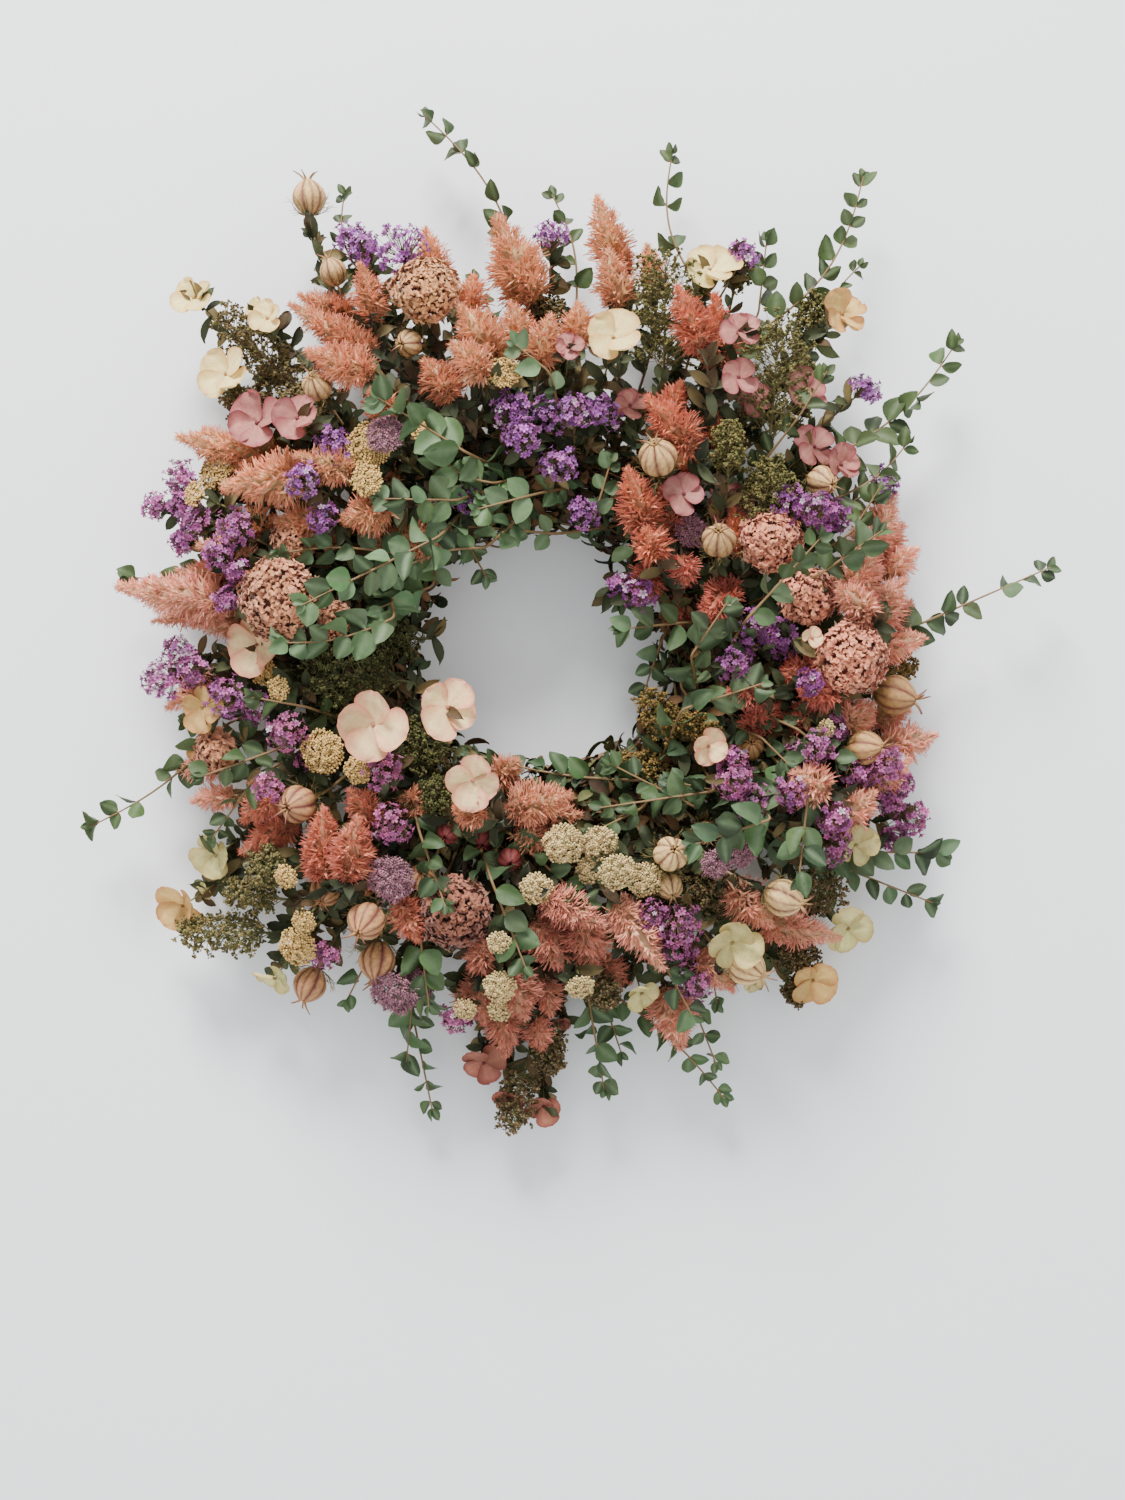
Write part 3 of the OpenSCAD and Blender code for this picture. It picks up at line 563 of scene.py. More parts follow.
def grow_pod(piece, head, rng, style):
    """A love-in-a-mist pod: ribbed, veined, horned at the top, in a nest of threads."""
    axis = head["axis"]
    u, v = across(axis)
    radius = head["radius"]
    tall = radius * 2.05
    rounds, rows = 40, 18
    ribs = 5
    grid_t = np.linspace(0, 1, rows + 1)
    grid_a = np.arange(rounds) * 2 * math.pi / rounds
    t, a = np.meshgrid(grid_t, grid_a, indexing="ij")
    profile = np.sin(np.pi * np.clip(t * 0.93 + 0.035, 0, 1)) ** 0.62
    ribbed = np.abs(np.cos(a * ribs / 2))
    r = radius * profile * (0.9 + 0.1 * ribbed) * (1 - 0.05 * (ribbed < 0.12))
    way = np.cos(a)[..., None] * u + np.sin(a)[..., None] * v
    points = head["base"] + axis * (t * tall)[..., None] + way * r[..., None]
    band = np.clip(1.3 - np.abs(np.cos(a * ribs / 2)) * 2.6, 0, 1)
    seam = np.clip(1 - np.abs(np.sin(a * ribs / 2)) * 6, 0, 1) * 0.7
    stripe = band + seam
    net = 0.5 + 0.5 * np.sin(a * 15 + np.sin(t * 14) * 1.2) * np.sin(t * 23 + a * 2)
    stripe = np.clip(stripe * style["stripes"] + net * 0.34 + rng.normal(size=t.shape) * 0.05, 0, 1)
    base = style["low"] * (1 + rng.normal() * 0.12)
    colours = base * (1 - stripe[..., None]) + style["vein"] * stripe[..., None]
    i = np.arange(rows)[:, None] * rounds
    k = np.arange(rounds)[None]
    b = (k + 1) % rounds
    tris = np.concatenate(
        [
            np.stack([i + k, i + b, i + rounds + b], -1).reshape(-1, 3),
            np.stack([i + k, i + rounds + b, i + rounds + k], -1).reshape(-1, 3),
        ]
    )
    piece.add(points.reshape(-1, 3), tris, np.clip(colours, 0, 1).reshape(-1, 3))
    top = head["base"] + axis * tall * 0.96
    for h in range(ribs):
        ang = 2 * math.pi * (h + 0.5) / ribs + rng.normal() * 0.1
        side = math.cos(ang) * u + math.sin(ang) * v
        s = np.linspace(0, 1, 6)[:, None]
        reach = radius * rng.uniform(0.55, 0.85)
        path = top + axis * s * reach * 0.75 + side * (0.15 * radius + reach * 0.75 * s**1.7)
        piece.tube(path, np.linspace(0.09, 0.025, 6) * radius, base * 0.9, style["vein"], sides=4)
    threads = 22
    for h in range(threads):
        ang = h * GOLDEN
        side = math.cos(ang) * u + math.sin(ang) * v
        s = np.linspace(0, 1, 7)[:, None]
        reach = radius * rng.uniform(1.0, 1.9)
        lift = rng.uniform(0.2, 1.5)
        wave = np.sin(s * 5 + ang) * 0.09 * radius
        path = head["base"] + side * reach * s**0.8 * rng.uniform(0.7, 1)
        path = path + axis * (lift * radius * s**1.6) + u * wave
        piece.tube(path, np.linspace(0.32, 0.12, 7), style["thread"], style["thread"] * 1.25, sides=3)
        forks = path[[3, 4, 5]]
        ends = forks + unit(side + randoms(rng, 3) * 0.8 + axis * 0.5) * radius * 0.45
        piece.sticks(forks, ends, 0.3, style["thread"], style["thread"] * 1.2)
    head_stem(piece, head, rng, 1.0, style["stem"], style["stem"])


def grow_floret(piece, head, rng, style):
    """A hydrangea floret: four broad overlapping sepals about a small button."""
    axis = head["axis"]
    u, v = across(axis)
    radius = head["radius"] * 1.22
    turn = rng.uniform(0, 6)
    order = np.arange(4)
    angle = turn + order * math.pi / 2 + rng.normal(size=4) * 0.1
    around = np.cos(angle)[:, None] * u + np.sin(angle)[:, None] * v
    rise = rng.uniform(-0.1, 0.55, 4)[:, None]
    ways = unit(around + axis * rise)
    lift = np.array([0, 0.5, 0, 0.5])[:, None] * axis
    turns = turns_to(ways, axis[None] + np.cross(axis, around) * rng.uniform(0.1, 0.3))
    size = radius * rng.uniform(0.85, 1.12, 4)
    curl = rng.uniform(0.5, 1.5, 4)
    low = shaded(rng, style["low"], 4, 0.07)
    edge = shaded(rng, style["edge"], 4, 0.08)
    middle = head["base"] + axis * 1.0
    sizes = np.stack([size * 1.08, size, size * curl], -1)
    piece.scatter(SEPAL, middle + lift + around * 0.4, turns, sizes, low, edge)
    button = (middle + axis * 1.2)[None]
    piece.scatter(GRAIN, button, turns[:1], np.array([2.4]), style["edge"] * 0.6, style["edge"] * 0.8)
    head_stem(piece, head, rng, 0.6, style["stem"], style["stem"])


def grow_panicle(piece, head, rng, style):
    """A seed head: branches that fork into fine twigs, each with a cluster of tiny buds."""
    axis = head["axis"]
    u, v = across(axis)
    radius = head["radius"]
    length = head["length"]
    radius = radius * 1.3
    spine = head["base"] + axis * np.linspace(0, 0.9, 8)[:, None] * length
    piece.tube(spine, np.linspace(0.9, 0.35, 8), style["stem"], style["stem"] * 1.1)
    branches = int(14 + length * 0.45 + radius)
    i = np.arange(branches)
    t = (i + 0.5) / branches
    angle = i * GOLDEN + rng.uniform(0, 6)
    around = np.cos(angle)[:, None] * u + np.sin(angle)[:, None] * v
    starts = head["base"] + axis * (t * 0.85 * length)[:, None]
    reach = radius * np.interp(t, [0, 0.3, 0.7, 1], [0.7, 1.0, 0.85, 0.4]) * rng.uniform(0.75, 1.1, branches)
    ends = starts + around * reach[:, None] * 0.8 + axis * (0.25 * radius + 0.1 * length * (1 - t))[:, None]
    piece.sticks(starts, ends, 0.7, style["stem"], style["stem"] * 1.15)
    twigs = 5
    at = np.repeat(ends, twigs, 0)
    back = np.repeat(starts, twigs, 0)
    share = rng.uniform(0.5, 1.0, len(at))[:, None]
    forks = back + (at - back) * share
    ways = unit(unit(at - back) + randoms(rng, len(at)) * 1.1)
    tips = forks + ways * (radius * rng.uniform(0.25, 0.6, len(at)))[:, None]
    piece.sticks(forks, tips, 0.42, style["stem"], style["stem"] * 1.2)
    buds = 6
    n = len(tips) * buds
    ways = randoms(rng, n)
    from_tip = np.repeat(tips, buds, 0) + ways * rng.uniform(0.3, 1.9, n)[:, None]
    size = rng.uniform(1.3, 2.2, n)
    low = shaded(rng, style["low"], n, 0.3)
    piece.scatter(BEAD, from_tip, turns_to(ways, randoms(rng, n)), size, low * 0.7, low * 1.15)
    head_stem(piece, head, rng, 1.0, style["stem"], style["stem"])


def grow_umbel(piece, head, rng, style):
    """A flat-topped head of many grains on short rays."""
    axis = head["axis"]
    u, v = across(axis)
    radius = head["radius"] * 1.15
    n = int(2.3 * radius**2 * (1))
    i = np.arange(n)
    t = (i + 0.5) / n
    angle = i * GOLDEN
    around = np.cos(angle)[:, None] * u + np.sin(angle)[:, None] * v
    clumps = 0.12 * np.sin(angle * 5 + 3) * np.sin(t * 9) + 0.05 * rng.normal(size=n)
    out = np.sqrt(t) * radius * (1 + clumps * 0.5)
    dome = radius * (0.55 * np.sqrt(np.clip(1 - t * 0.95, 0, 1)) + clumps)
    top = head["base"] + axis * radius * 0.28
    places = top + around * out[:, None] + axis * dome[:, None]
    ways = unit(axis + around * np.sqrt(t)[:, None] * 1.1 + randoms(rng, n) * 0.3)
    size = rng.uniform(1.3, 2.2, n) * style["grain"]
    low = shaded(rng, style["low"], n, 0.15)
    sizes = np.stack([size, size * style["tall"], size], -1)
    piece.scatter(GRAIN, places, turns_to(ways, randoms(rng, n)), sizes, low * 0.4, low)
    if style["fuzz"]:
        m = n * 2
        pick = rng.integers(0, n, m)
        fuzz = unit(ways[pick] + randoms(rng, m) * 0.6)
        long = rng.uniform(1.6, 3.2, m)
        ends = places[pick] + fuzz * long[:, None]
        bright = np.clip(low[pick] * 1.35, 0, 1)
        piece.sticks(places[pick], ends, 0.28, low[pick] * 0.9, bright)
    rays = 16
    angle = np.arange(rays) * GOLDEN
    around = np.cos(angle)[:, None] * u + np.sin(angle)[:, None] * v
    far = np.sqrt((np.arange(rays) + 0.5) / rays)[:, None] * radius * 0.85
    foot = np.repeat((head["base"] - axis * radius * 0.2)[None], rays, 0)
    piece.sticks(foot, top + around * far + axis * radius * 0.2, 0.7, style["stem"], style["stem"])
    head_stem(piece, head, rng, 0.9, style["stem"], style["stem"])


def grow_tuft(piece, head, rng, style):
    """A statice spray: small papery funnels on short forked twigs."""
    axis = head["axis"]
    u, v = across(axis)
    radius = head["radius"]
    radius = radius * 1.3
    n = int((16 + radius * 5) * (1))
    i = np.arange(n)
    t = (i + 0.5) / n
    polar = np.arccos(1 - 1.35 * t)
    angle = i * GOLDEN + rng.normal(size=n) * 0.3
    around = np.cos(angle)[:, None] * u + np.sin(angle)[:, None] * v
    normal = unit(around * np.sin(polar)[:, None] + axis * np.cos(polar)[:, None])
    centre = head["base"] + axis * radius * 0.55
    deep = rng.uniform(0.5, 1.15, n)
    places = centre + normal * (radius * deep)[:, None]
    ways = unit(normal + randoms(rng, n) * 0.55)
    size = rng.uniform(1.7, 3.0, n)
    high = shaded(rng, style["high"], n, 0.28)
    white = rng.uniform(0, 1, (n, 1)) < style["pale"]
    high = np.where(white, style["white"], high)
    piece.scatter(FLOWER, places, turns_to(ways, randoms(rng, n)), size, high * 0.5, high)
    cup = np.stack([size * 0.42, size * 0.9, size * 0.42], -1)
    under = places - ways * (size * 0.3)[:, None]
    piece.scatter(BEAD, under, turns_to(ways, randoms(rng, n)), cup, style["stem"], high * 0.7)
    foot = np.repeat((head["base"] - axis * 2)[None], n, 0) + rng.normal(size=(n, 3)) * 0.5
    piece.sticks(foot, places, 0.45, style["stem"], style["stem"] * 1.2)
    head_stem(piece, head, rng, 0.8, style["stem"], style["stem"])


def grow_sprig(piece, centres, widths, rng, style):
    """A eucalyptus sprig: opposite rounded leaves along a thin stem."""
    low_part = int(np.linalg.norm(centres[1] - centres[0]) / 12)
    if low_part > 1:
        t = np.arange(1, low_part)[:, None] / low_part
        extra = centres[0] * (1 - t) + centres[1] * t
        centres = np.concatenate([centres[:1], extra, centres[1:]])
        widths = np.concatenate([widths[:1], np.full(low_part - 1, widths.max() * 0.9), widths[1:]])
    n = len(centres)
    fine = np.linspace(0, n - 1, n * 3)
    path = np.stack([np.interp(fine, np.arange(n), centres[:, k]) for k in range(3)], -1)
    smooth = path.copy()
    smooth[1:-1] = (path[:-2] + path[1:-1] * 2 + path[2:]) / 4
    piece.tube(smooth, np.linspace(1.0, 0.45, len(smooth)), style["stem"], style["stem"] * 1.15)
    way = unit(np.gradient(centres, axis=0))
    roll = rng.uniform(-0.3, 0.3)
    for k in np.flatnonzero(widths > 2.2):
        side = unit(np.cross(way[k], OUT))
        face = np.cross(side, way[k])
        roll += rng.uniform(0.2, 0.9)
        swing = 0.75 * math.sin(roll * 2)
        late = k / n
        for s in (-1, 1):
            if rng.uniform() < 0.12:
                continue
            out = unit(s * side * math.cos(swing) + face * math.sin(swing) * s + rng.normal(size=3) * 0.25)
            lean = rng.uniform(0.45, 0.95) + 0.35 * late
            grow = unit(out + way[k] * lean + rng.normal(size=3) * 0.10)
            size = widths[k] * rng.uniform(1.9, 2.6)
            up = unit(face + rng.normal(size=3) * 0.45 - out * 0.1)
            tint = shaded(rng, style["low"], 1, 0.3)
            curl = rng.uniform(0.4, 2.2) * (1 if rng.uniform() < 0.85 else -1.5)
            wide = size * rng.uniform(0.78, 1.08) * style["wide"]
            at = centres[k] + out * 0.8 + way[k] * rng.uniform(-1, 1)
            sizes = np.array([[wide, size, size * curl]])
            piece.scatter(LEAF, at[None], turns_to(grow, up)[None], sizes, tint, style["rib"])
            piece.sticks(centres[k][None], (at + grow * 1.2)[None], 0.8, style["stem"], style["stem"])
    tip = centres[-1]
    for s in (-1, 1):
        side = unit(np.cross(way[-1], OUT))
        grow = unit(way[-1] + s * side * rng.uniform(0.25, 0.6) + rng.normal(size=3) * 0.15)
        size = rng.uniform(6, 9)
        tint = shaded(rng, style["low"], 1, 0.16)
        piece.scatter(LEAF, (tip - way[-1] * 2)[None], turns_to(grow, OUT + rng.normal(size=3) * 0.4)[None],
                      np.array([[size * 0.8, size, size]]), tint, style["rib"])


def grow_bundle(piece, node, rng):
    """Thin bound stems that follow a quarter of the ring, with dark dried leaves among them: their tone is
    partly the leaves' own dried colour, partly painted shade for the inside of the bundle.
    """
    spots = [p for p, _ in islands(node)]
    all_points = np.concatenate(spots)
    middle = all_points.mean(0)
    heading = math.atan2(middle[2] - MIDDLE[2], middle[0] - MIDDLE[0])
    half = math.radians(41)
    stems = 190
    straw, brown, dark, olive = rgb(186, 158, 108), rgb(122, 90, 58), rgb(74, 56, 40), rgb(96, 98, 58)
    for k in range(stems):
        a0 = heading + rng.uniform(-1, 0.4) * half
        a1 = min(a0 + rng.uniform(0.6, 1.5) * half, heading + half * 1.15)
        a = np.linspace(a0, a1, 14)
        wander = rng.uniform(0, 6, 2)
        reach = BUNDLE_R * 1.22 * math.sqrt(rng.uniform(0.0, 1))
        spin = rng.uniform(0, 6.3) + np.linspace(0, rng.normal() * 0.7, 14)
        r = CORE_R + reach * np.cos(spin) * 1.08 + np.sin(a * 5 + wander[0]) * 1.2
        h = CORE_H + reach * np.sin(spin) * 0.85 + np.sin(a * 4 + wander[1]) * 1.2
        h = np.maximum(h, 3.5)
        path = MIDDLE + np.stack([r * np.cos(a), -h, r * np.sin(a)], -1)
        tone = (straw, brown, brown, dark, dark, olive)[rng.integers(0, 6)]
        tone = tone * rng.uniform(0.6, 1.1)
        piece.tube(path, rng.uniform(0.5, 1.15), tone, tone * 0.8, sides=5)
    leaves = 950
    a = heading + rng.uniform(-1.05, 1.05, leaves) * half
    spin = rng.uniform(0, 6.3, leaves)
    reach = BUNDLE_R * rng.uniform(0.7, 1.9, leaves)
    r = CORE_R + reach * np.cos(spin)
    h = np.maximum(CORE_H + reach * np.sin(spin) * 0.9, 4)
    ring_out = np.stack([np.cos(a), 0 * a, np.sin(a)], -1)
    places = MIDDLE + ring_out * r[:, None] + OUT * h[:, None]
    outward = unit(ring_out * np.cos(spin)[:, None] + OUT * np.sin(spin)[:, None])
    ways = unit(outward * 0.55 + randoms(rng, leaves))
    ways[:, 1] = np.where(h < 10, -np.abs(ways[:, 1]), ways[:, 1])
    size = rng.uniform(8, 18, leaves)
    # Leaf tones scaled darker than the stems' colours: partly the dried leaves' own colour, partly painted
    # shade that fills the gaps inside the bundle
    tones = np.array([dark * 0.9, olive * 0.7, brown * 0.8, rgb(64, 78, 52)])[rng.integers(0, 4, leaves)]
    tones = tones * rng.uniform(0.6, 1.25, (leaves, 1))
    sizes = np.stack([size * 1.5, size, size], -1)
    piece.scatter(LONG_LEAF, places, turns_to(ways, outward), sizes, tones, tones * 0.85)


# --- materials ---


def plant_material(name, rough, thin, grain, bump, mottle=0.16, sheen=0.0):
    """Painted from each piece's own tint, mottled and roughened by noise."""
    mat = bpy.data.materials.new(name)
    mat.use_nodes = True
    tree = mat.node_tree
    nodes = tree.nodes
    links = tree.links
    shader = nodes["Principled BSDF"]
    shader.inputs["Specular IOR Level"].default_value = 0.25
    shader.inputs["Sheen Weight"].default_value = sheen
    tint = nodes.new("ShaderNodeVertexColor")
    tint.layer_name = "tint"
    where = nodes.new("ShaderNodeTexCoord")
    fine = nodes.new("ShaderNodeTexNoise")
    fine.inputs["Scale"].default_value = grain
    fine.inputs["Detail"].default_value = 4
    links.new(where.outputs["Object"], fine.inputs["Vector"])
    broad = nodes.new("ShaderNodeTexNoise")
    broad.inputs["Scale"].default_value = grain / 9
    broad.inputs["Detail"].default_value = 3
    links.new(where.outputs["Object"], broad.inputs["Vector"])
    both = nodes.new("ShaderNodeMath")
    both.operation = "ADD"
    links.new(fine.outputs["Fac"], both.inputs[0])
    links.new(broad.outputs["Fac"], both.inputs[1])
    lift = nodes.new("ShaderNodeMapRange")
    lift.inputs["From Min"].default_value = 0.6
    lift.inputs["From Max"].default_value = 1.4
    lift.inputs["To Min"].default_value = 1 - mottle * 1.6
    lift.inputs["To Max"].default_value = 1 + mottle
    links.new(both.outputs[0], lift.inputs["Value"])
    colour = nodes.new("ShaderNodeVectorMath")
    colour.operation = "SCALE"
    links.new(tint.outputs["Color"], colour.inputs[0])
    links.new(lift.outputs[0], colour.inputs["Scale"])
    links.new(colour.outputs[0], shader.inputs["Base Color"])
    roughness = nodes.new("ShaderNodeMapRange")
    roughness.inputs["To Min"].default_value = rough - 0.12
    roughness.inputs["To Max"].default_value = min(1, rough + 0.12)
    links.new(fine.outputs["Fac"], roughness.inputs["Value"])
    links.new(roughness.outputs[0], shader.inputs["Roughness"])
    bumps = nodes.new("ShaderNodeBump")
    bumps.inputs["Strength"].default_value = bump
    bumps.inputs["Distance"].default_value = 0.0006
    links.new(fine.outputs["Fac"], bumps.inputs["Height"])
    links.new(bumps.outputs[0], shader.inputs["Normal"])
    if thin:
        glow = nodes.new("ShaderNodeBsdfTranslucent")
        links.new(colour.outputs[0], glow.inputs["Color"])
        mix = nodes.new("ShaderNodeMixShader")
        mix.inputs[0].default_value = thin
        links.new(shader.outputs[0], mix.inputs[1])
        links.new(glow.outputs[0], mix.inputs[2])
        links.new(mix.outputs[0], nodes["Material Output"].inputs["Surface"])
    return mat


def wire_material(name, colour, rust, metal, rough):
    """Drawn wire with dull spots."""
    mat = bpy.data.materials.new(name)
    mat.use_nodes = True
    nodes = mat.node_tree.nodes
    links = mat.node_tree.links
    shader = nodes["Principled BSDF"]
    shader.inputs["Metallic"].default_value = metal
    where = nodes.new("ShaderNodeTexCoord")
    noise = nodes.new("ShaderNodeTexNoise")
    noise.inputs["Scale"].default_value = 160
    noise.inputs["Detail"].default_value = 5
    links.new(where.outputs["Object"], noise.inputs["Vector"])
    ramp = nodes.new("ShaderNodeValToRGB")
    ramp.color_ramp.elements[0].position = 0.42
    ramp.color_ramp.elements[0].color = (*rust, 1)
    ramp.color_ramp.elements[1].position = 0.6
    ramp.color_ramp.elements[1].color = (*colour, 1)
    links.new(noise.outputs["Fac"], ramp.inputs["Fac"])
    links.new(ramp.outputs["Color"], shader.inputs["Base Color"])
    roughness = nodes.new("ShaderNodeMapRange")
    roughness.inputs["To Min"].default_value = rough - 0.12
    roughness.inputs["To Max"].default_value = rough + 0.18
    links.new(noise.outputs["Fac"], roughness.inputs["Value"])
    links.new(roughness.outputs[0], shader.inputs["Roughness"])
    bumps = nodes.new("ShaderNodeBump")
    bumps.inputs["Strength"].default_value = 0.3
    bumps.inputs["Distance"].default_value = 0.0003
    links.new(noise.outputs["Fac"], bumps.inputs["Height"])
    links.new(bumps.outputs[0], shader.inputs["Normal"])
    return mat


PETAL = plant_material("dry_tepal", 0.7, 0.22, 260, 0.3, sheen=0.15)
FROND = plant_material("velvet_crest", 0.85, 0.12, 420, 0.5, sheen=0.3)
SHELL = plant_material("pod_shell", 0.6, 0.08, 500, 0.45, mottle=0.22)
PAPER = plant_material("veined_sepal", 0.62, 0.3, 700, 0.4, mottle=0.14)
SEED = plant_material("seed_grain", 0.85, 0.0, 300, 0.4, mottle=0.2)
LEAFY = plant_material("leaf_skin", 0.55, 0.15, 320, 0.35, mottle=0.14)
STRAW = plant_material("dry_stem", 0.8, 0.0, 260, 0.5, mottle=0.3)

# --- colours of each node's plant ---

GREEN_STEM = rgb(112, 110, 66)
TAN_STEM = rgb(168, 138, 94)
DARK_STEM = rgb(92, 70, 48)


def celosia_style(low, high, old=(150, 100, 72)):
    return {"low": rgb(*low), "high": rgb(*high), "old": rgb(*old), "stem": DARK_STEM}


PEACH = celosia_style((250, 216, 164), (230, 128, 98), (196, 140, 92))
PINK = celosia_style((250, 214, 172), (230, 128, 116), (198, 144, 104))
CORAL = celosia_style((242, 184, 142), (214, 98, 84), (168, 104, 74))

CELOSIA = {
    "celosia_top": PEACH,
    "celosia_top_left": celosia_style((248, 206, 154), (224, 116, 92), (184, 124, 84)),
    "celosia_upper_left": PEACH,
    "celosia_left": PINK,
    "celosia_lower_left": CORAL,
    "celosia_bottom": celosia_style((236, 188, 150), (206, 108, 98), (172, 112, 84)),
    "celosia_bottom_inner": celosia_style((238, 192, 144), (208, 112, 90), (168, 116, 80)),
    "celosia_lower_right": PINK,
    "celosia_right": PINK,
    "celosia_right_inner": celosia_style((234, 156, 122), (196, 82, 74), (156, 88, 66)),
    "celosia_top_right": celosia_style((240, 172, 126), (206, 92, 76), (164, 100, 70)),
}
ROSE_CREST = {
    "low": rgb(122, 66, 48),
    "high": rgb(208, 144, 106),
    "bract": rgb(214, 178, 138),
    "stem": DARK_STEM,
}
CREST = {
    "cockscomb_top": {**ROSE_CREST, "high": rgb(206, 148, 98)},
    "cockscomb_left": ROSE_CREST,
    "cockscomb_right": {**ROSE_CREST, "low": rgb(140, 70, 56), "high": rgb(218, 144, 110)},
    "cockscomb_bottom": {**ROSE_CREST, "low": rgb(92, 46, 36), "high": rgb(156, 98, 76)},
}
POD = {
    "low": rgb(204, 168, 112),
    "vein": rgb(98, 42, 46),
    "thread": rgb(124, 110, 70),
    "stem": TAN_STEM,
    "stripes": 0.75,
}
PODS = {
    "nigella_pods_top": POD,
    "nigella_pods_right": {**POD, "low": rgb(186, 146, 92)},
    "nigella_pods_lower_right": {**POD, "low": rgb(220, 186, 126), "stem": rgb(196, 170, 124)},
    "nigella_pods_lower_left": {**POD, "low": rgb(198, 150, 100), "stripes": 0.95},
    "nigella_pods_inner": {**POD, "low": rgb(124, 56, 52), "vein": rgb(80, 28, 34)},
}


def floret_style(low, edge):
    return {"low": rgb(*low), "edge": rgb(*edge), "stem": GREEN_STEM}


FLORETS = {
    "hydrangea_cream_top": floret_style((240, 222, 154), (216, 172, 112)),
    "hydrangea_mauve_top": floret_style((186, 128, 116), (150, 74, 82)),
    "hydrangea_cream_left": floret_style((242, 214, 158), (220, 142, 122)),
    "hydrangea_ochre_outer": floret_style((206, 172, 106), (184, 128, 78)),
    "hydrangea_green_outer": floret_style((202, 194, 134), (180, 160, 102)),
    "hydrangea_rose_bottom": floret_style((164, 106, 86), (136, 72, 66)),
}


def seed_style(low, stem=(96, 96, 58)):
    return {"low": rgb(*low), "stem": rgb(*stem)}


SEEDS = {
    "seed_heads_top_left": seed_style((96, 84, 52), (98, 84, 54)),
    "seed_heads_top_right": seed_style((94, 88, 48), (92, 84, 50)),
    "seed_heads_left": seed_style((74, 74, 40), (68, 68, 40)),
    "seed_heads_lower_left": seed_style((108, 98, 60)),
    "seed_heads_bottom": seed_style((100, 84, 56)),
    "seed_heads_right": seed_style((112, 90, 46)),
}
UMBELS = {
    "yarrow_left": {"low": rgb(204, 168, 104), "stem": GREEN_STEM, "grain": 1.0, "tall": 1, "fuzz": False},
    "yarrow_bottom": {"low": rgb(206, 180, 126), "stem": GREEN_STEM, "grain": 1.0, "tall": 1, "fuzz": False},
    "ageratum_left": {"low": rgb(152, 108, 120), "stem": GREEN_STEM, "grain": 0.9, "tall": 1.3, "fuzz": True},
}
TUFT = {"high": rgb(168, 100, 168), "stem": rgb(124, 108, 78), "white": rgb(206, 176, 196), "pale": 0.05}
TUFTS = {
    "statice_top": TUFT,
    "statice_left": {**TUFT, "high": rgb(176, 100, 156), "pale": 0.06},
    "statice_lower_left": {**TUFT, "high": rgb(188, 106, 152)},
    "statice_right": {**TUFT, "high": rgb(152, 80, 142)},
    "statice_bottom": {**TUFT, "high": rgb(176, 98, 148), "pale": 0.06},
}


def leaf_style(low, wide=1.0):
    return {"low": rgb(*low), "rib": rgb(*[c + 22 for c in low]), "stem": rgb(122, 98, 66), "wide": wide}


SPRIGS = {
    "eucalyptus_top": leaf_style((54, 68, 38)),
    "eucalyptus_top_right": leaf_style((58, 72, 40), 0.9),
    "eucalyptus_upper_left": leaf_style((76, 98, 64), 1.05),
    "eucalyptus_left": leaf_style((58, 74, 42)),
    "eucalyptus_bottom": leaf_style((64, 84, 52)),
    "eucalyptus_bottom_inner": leaf_style((56, 74, 44)),
    "eucalyptus_lower_right": leaf_style((64, 82, 54), 0.95),
    "eucalyptus_right": leaf_style((60, 76, 48)),
    "eucalyptus_right_inner": leaf_style((66, 84, 54)),
}

KINDS = [
    (CELOSIA, grow_celosia, PETAL),
    (CREST, grow_crest, FROND),
    (PODS, grow_pod, SHELL),
    (FLORETS, grow_floret, PAPER),
    (SEEDS, grow_panicle, SEED),
    (UMBELS, grow_umbel, SEED),
    (TUFTS, grow_tuft, PAPER),
]

order = sorted(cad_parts)


def seeded(node):
    return np.random.default_rng(order.index(node) + 11)


counts = {}
for styles, grow, material in KINDS:
    for node, style in styles.items():
        rng = seeded(node)
        piece = Piece()
        heads = [read_head(points, edges) for points, edges in islands(node)]
        for head in heads:
            grow(piece, head, rng, style)
        obj = piece.finish(node + "_plants", material, [node])
        counts[node] = (len(heads), len(obj.data.polygons))

for node, style in SPRIGS.items():
    rng = seeded(node)
    piece = Piece()
    found = islands(node)
    for points, edges in found:
        centres, widths = read_sprig(points, edges)
        grow_sprig(piece, centres, widths, rng, style)
    obj = piece.finish(node + "_plants", LEAFY, [node])
    counts[node] = (len(found), len(obj.data.polygons))

for node in ("stem_bundle_top", "stem_bundle_right", "stem_bundle_bottom", "stem_bundle_left"):
    piece = Piece()
    grow_bundle(piece, node, seeded(node))
    obj = piece.finish(node + "_plants", STRAW, [node])
    counts[node] = (1, len(obj.data.polygons))

# The wire parts keep their CAD shape
FRAME_WIRE = wire_material("painted_frame_wire", rgb(84, 90, 72), rgb(96, 66, 44), 0.4, 0.5)
BINDING = wire_material("painted_binding_wire", rgb(70, 88, 52), rgb(56, 60, 38), 0.4, 0.5)
LOOP = wire_material("drawn_loop_wire", rgb(160, 160, 158), rgb(120, 116, 108), 0.9, 0.38)
for name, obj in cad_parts.items():
    if name.startswith("wire_"):
        obj.data.materials.clear()
        obj.data.materials.append(FRAME_WIRE)
    elif name == "binding_wire":
        obj.data.materials.clear()
        obj.data.materials.append(BINDING)
    elif name == "hang_loop":
        obj.data.materials.clear()
        obj.data.materials.append(LOOP)

# --- wall, light and camera ---

WALL = 0.008


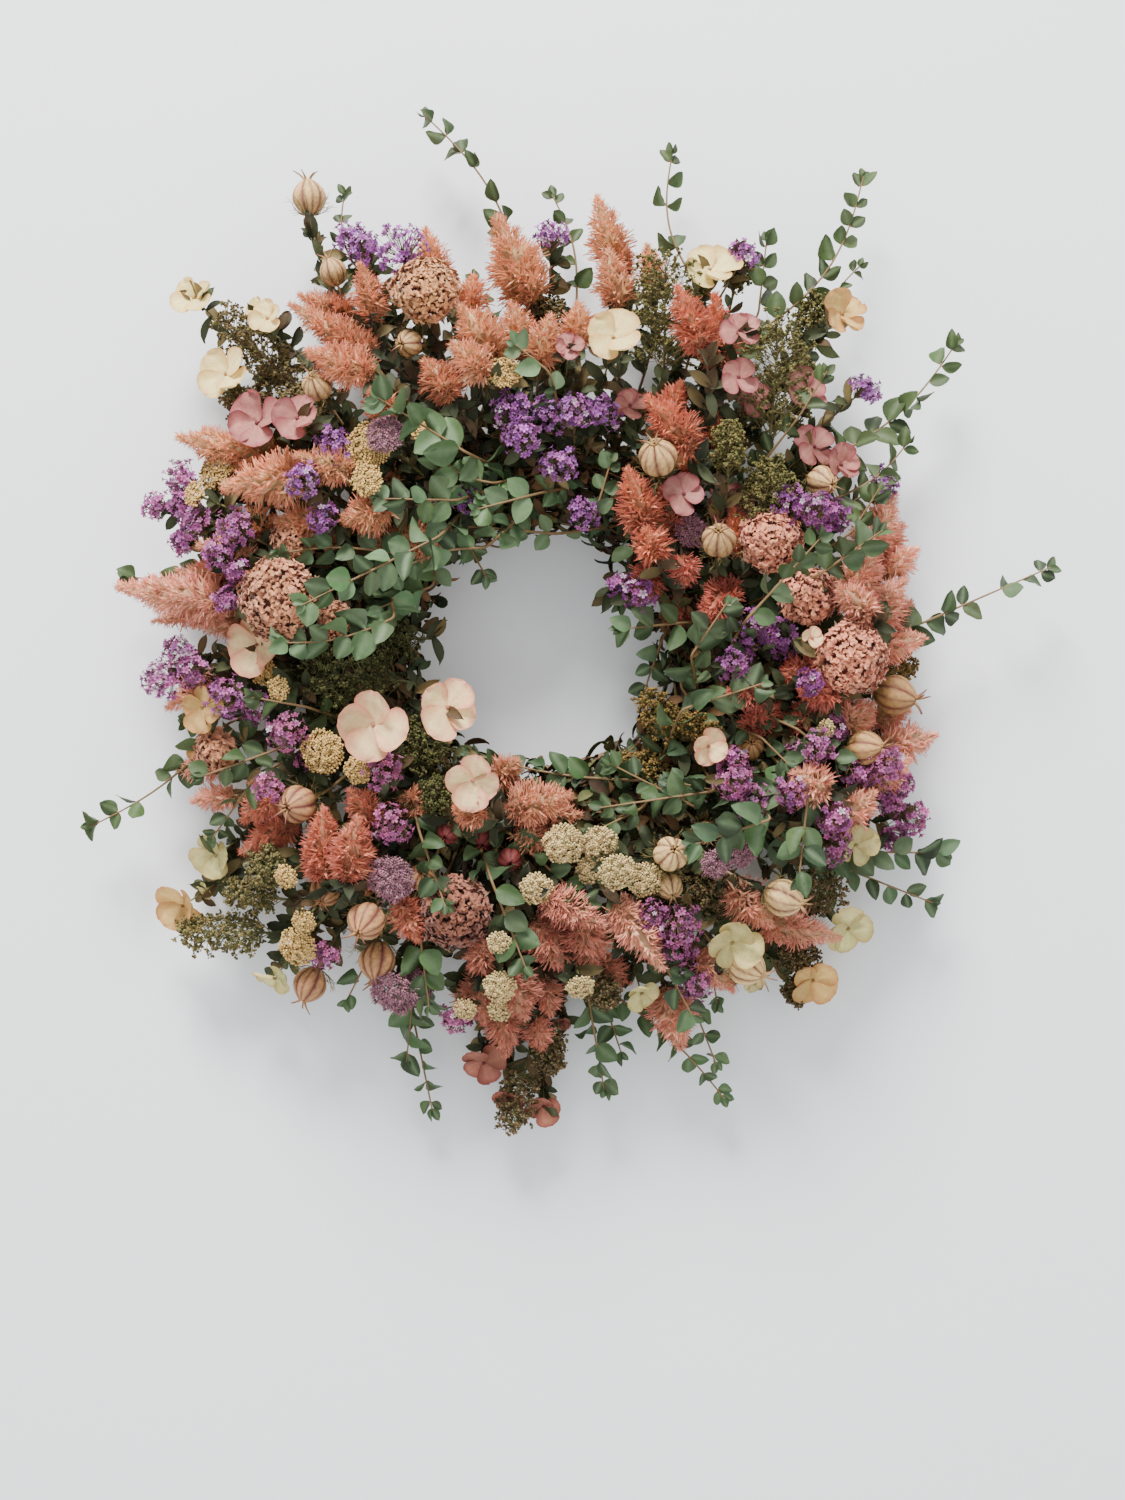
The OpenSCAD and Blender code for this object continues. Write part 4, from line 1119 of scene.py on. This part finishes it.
def wall_material():
    """Pale painted door, seen from the front only."""
    mat = bpy.data.materials.new("pale_wall")
    mat.use_nodes = True
    nodes = mat.node_tree.nodes
    links = mat.node_tree.links
    shader = nodes["Principled BSDF"]
    shader.inputs["Roughness"].default_value = 0.6
    shader.inputs["Specular IOR Level"].default_value = 0.3
    where = nodes.new("ShaderNodeTexCoord")
    noise = nodes.new("ShaderNodeTexNoise")
    noise.inputs["Scale"].default_value = 3
    links.new(where.outputs["Object"], noise.inputs["Vector"])
    ramp = nodes.new("ShaderNodeValToRGB")
    ramp.color_ramp.elements[0].color = (*rgb(230, 233, 237), 1)
    ramp.color_ramp.elements[1].color = (*rgb(234, 237, 240), 1)
    links.new(noise.outputs["Fac"], ramp.inputs["Fac"])
    links.new(ramp.outputs["Color"], shader.inputs["Base Color"])
    back = nodes.new("ShaderNodeNewGeometry")
    clear = nodes.new("ShaderNodeBsdfTransparent")
    mix = nodes.new("ShaderNodeMixShader")
    links.new(back.outputs["Backfacing"], mix.inputs[0])
    links.new(shader.outputs[0], mix.inputs[1])
    links.new(clear.outputs[0], mix.inputs[2])
    links.new(mix.outputs[0], nodes["Material Output"].inputs["Surface"])
    return mat


wall_gap = 0.0005
wall_place = (0, WALL + wall_gap, -0.15)
bpy.ops.mesh.primitive_plane_add(size=6, location=wall_place, rotation=(math.radians(90), 0, 0))
wall = bpy.context.object
wall.name = "wall"
wall.data.materials.append(wall_material())
# Light from behind reaches the wreath's back, for the views from there
wall.visible_shadow = False


def area_light(name, place, target, size, power, colour=(1, 1, 1)):
    data = bpy.data.lights.new(name, "AREA")
    data.shape = "DISK"
    data.size = size
    data.energy = power
    data.color = colour
    obj = bpy.data.objects.new(name, data)
    bpy.context.scene.collection.objects.link(obj)
    obj.location = place
    way = np.array(target, float) - np.array(place, float)
    obj.rotation_euler = Vector(way).to_track_quat("-Z", "Y").to_euler()
    return obj


area_light("sky_key", (-0.5, -1.7, 2.5), (0, 0, -0.15), 1.3, 300, (1, 0.985, 0.96))
area_light("sky_fill", (1.6, -2.2, 0.4), (0, 0, -0.2), 2.0, 8, (1, 0.99, 0.98))
area_light("ground_bounce", (0, -1.8, -1.9), (0, 0, -0.2), 1.8, 14, (1, 0.98, 0.95))
area_light("back_light", (0.3, 1.8, 0.8), (0, 0, -0.15), 1.8, 70)

world = bpy.data.worlds.new("soft_sky")
bpy.context.scene.world = world
world.use_nodes = True
world.node_tree.nodes["Background"].inputs["Color"].default_value = (0.97, 0.985, 1, 1)
world.node_tree.nodes["Background"].inputs["Strength"].default_value = 1.2

camera_data = bpy.data.cameras.new("door_view")
camera_data.sensor_width = 36
camera_data.lens = 56.7
camera = bpy.data.objects.new("door_view", camera_data)
bpy.context.scene.collection.objects.link(camera)
camera.location = (0.014, WALL - 1.4, -0.208)
camera.rotation_euler = (math.radians(90), math.radians(-0.5), 0)
bpy.context.scene.camera = camera

print("triangles", sum(c[1] for c in counts.values()), counts)
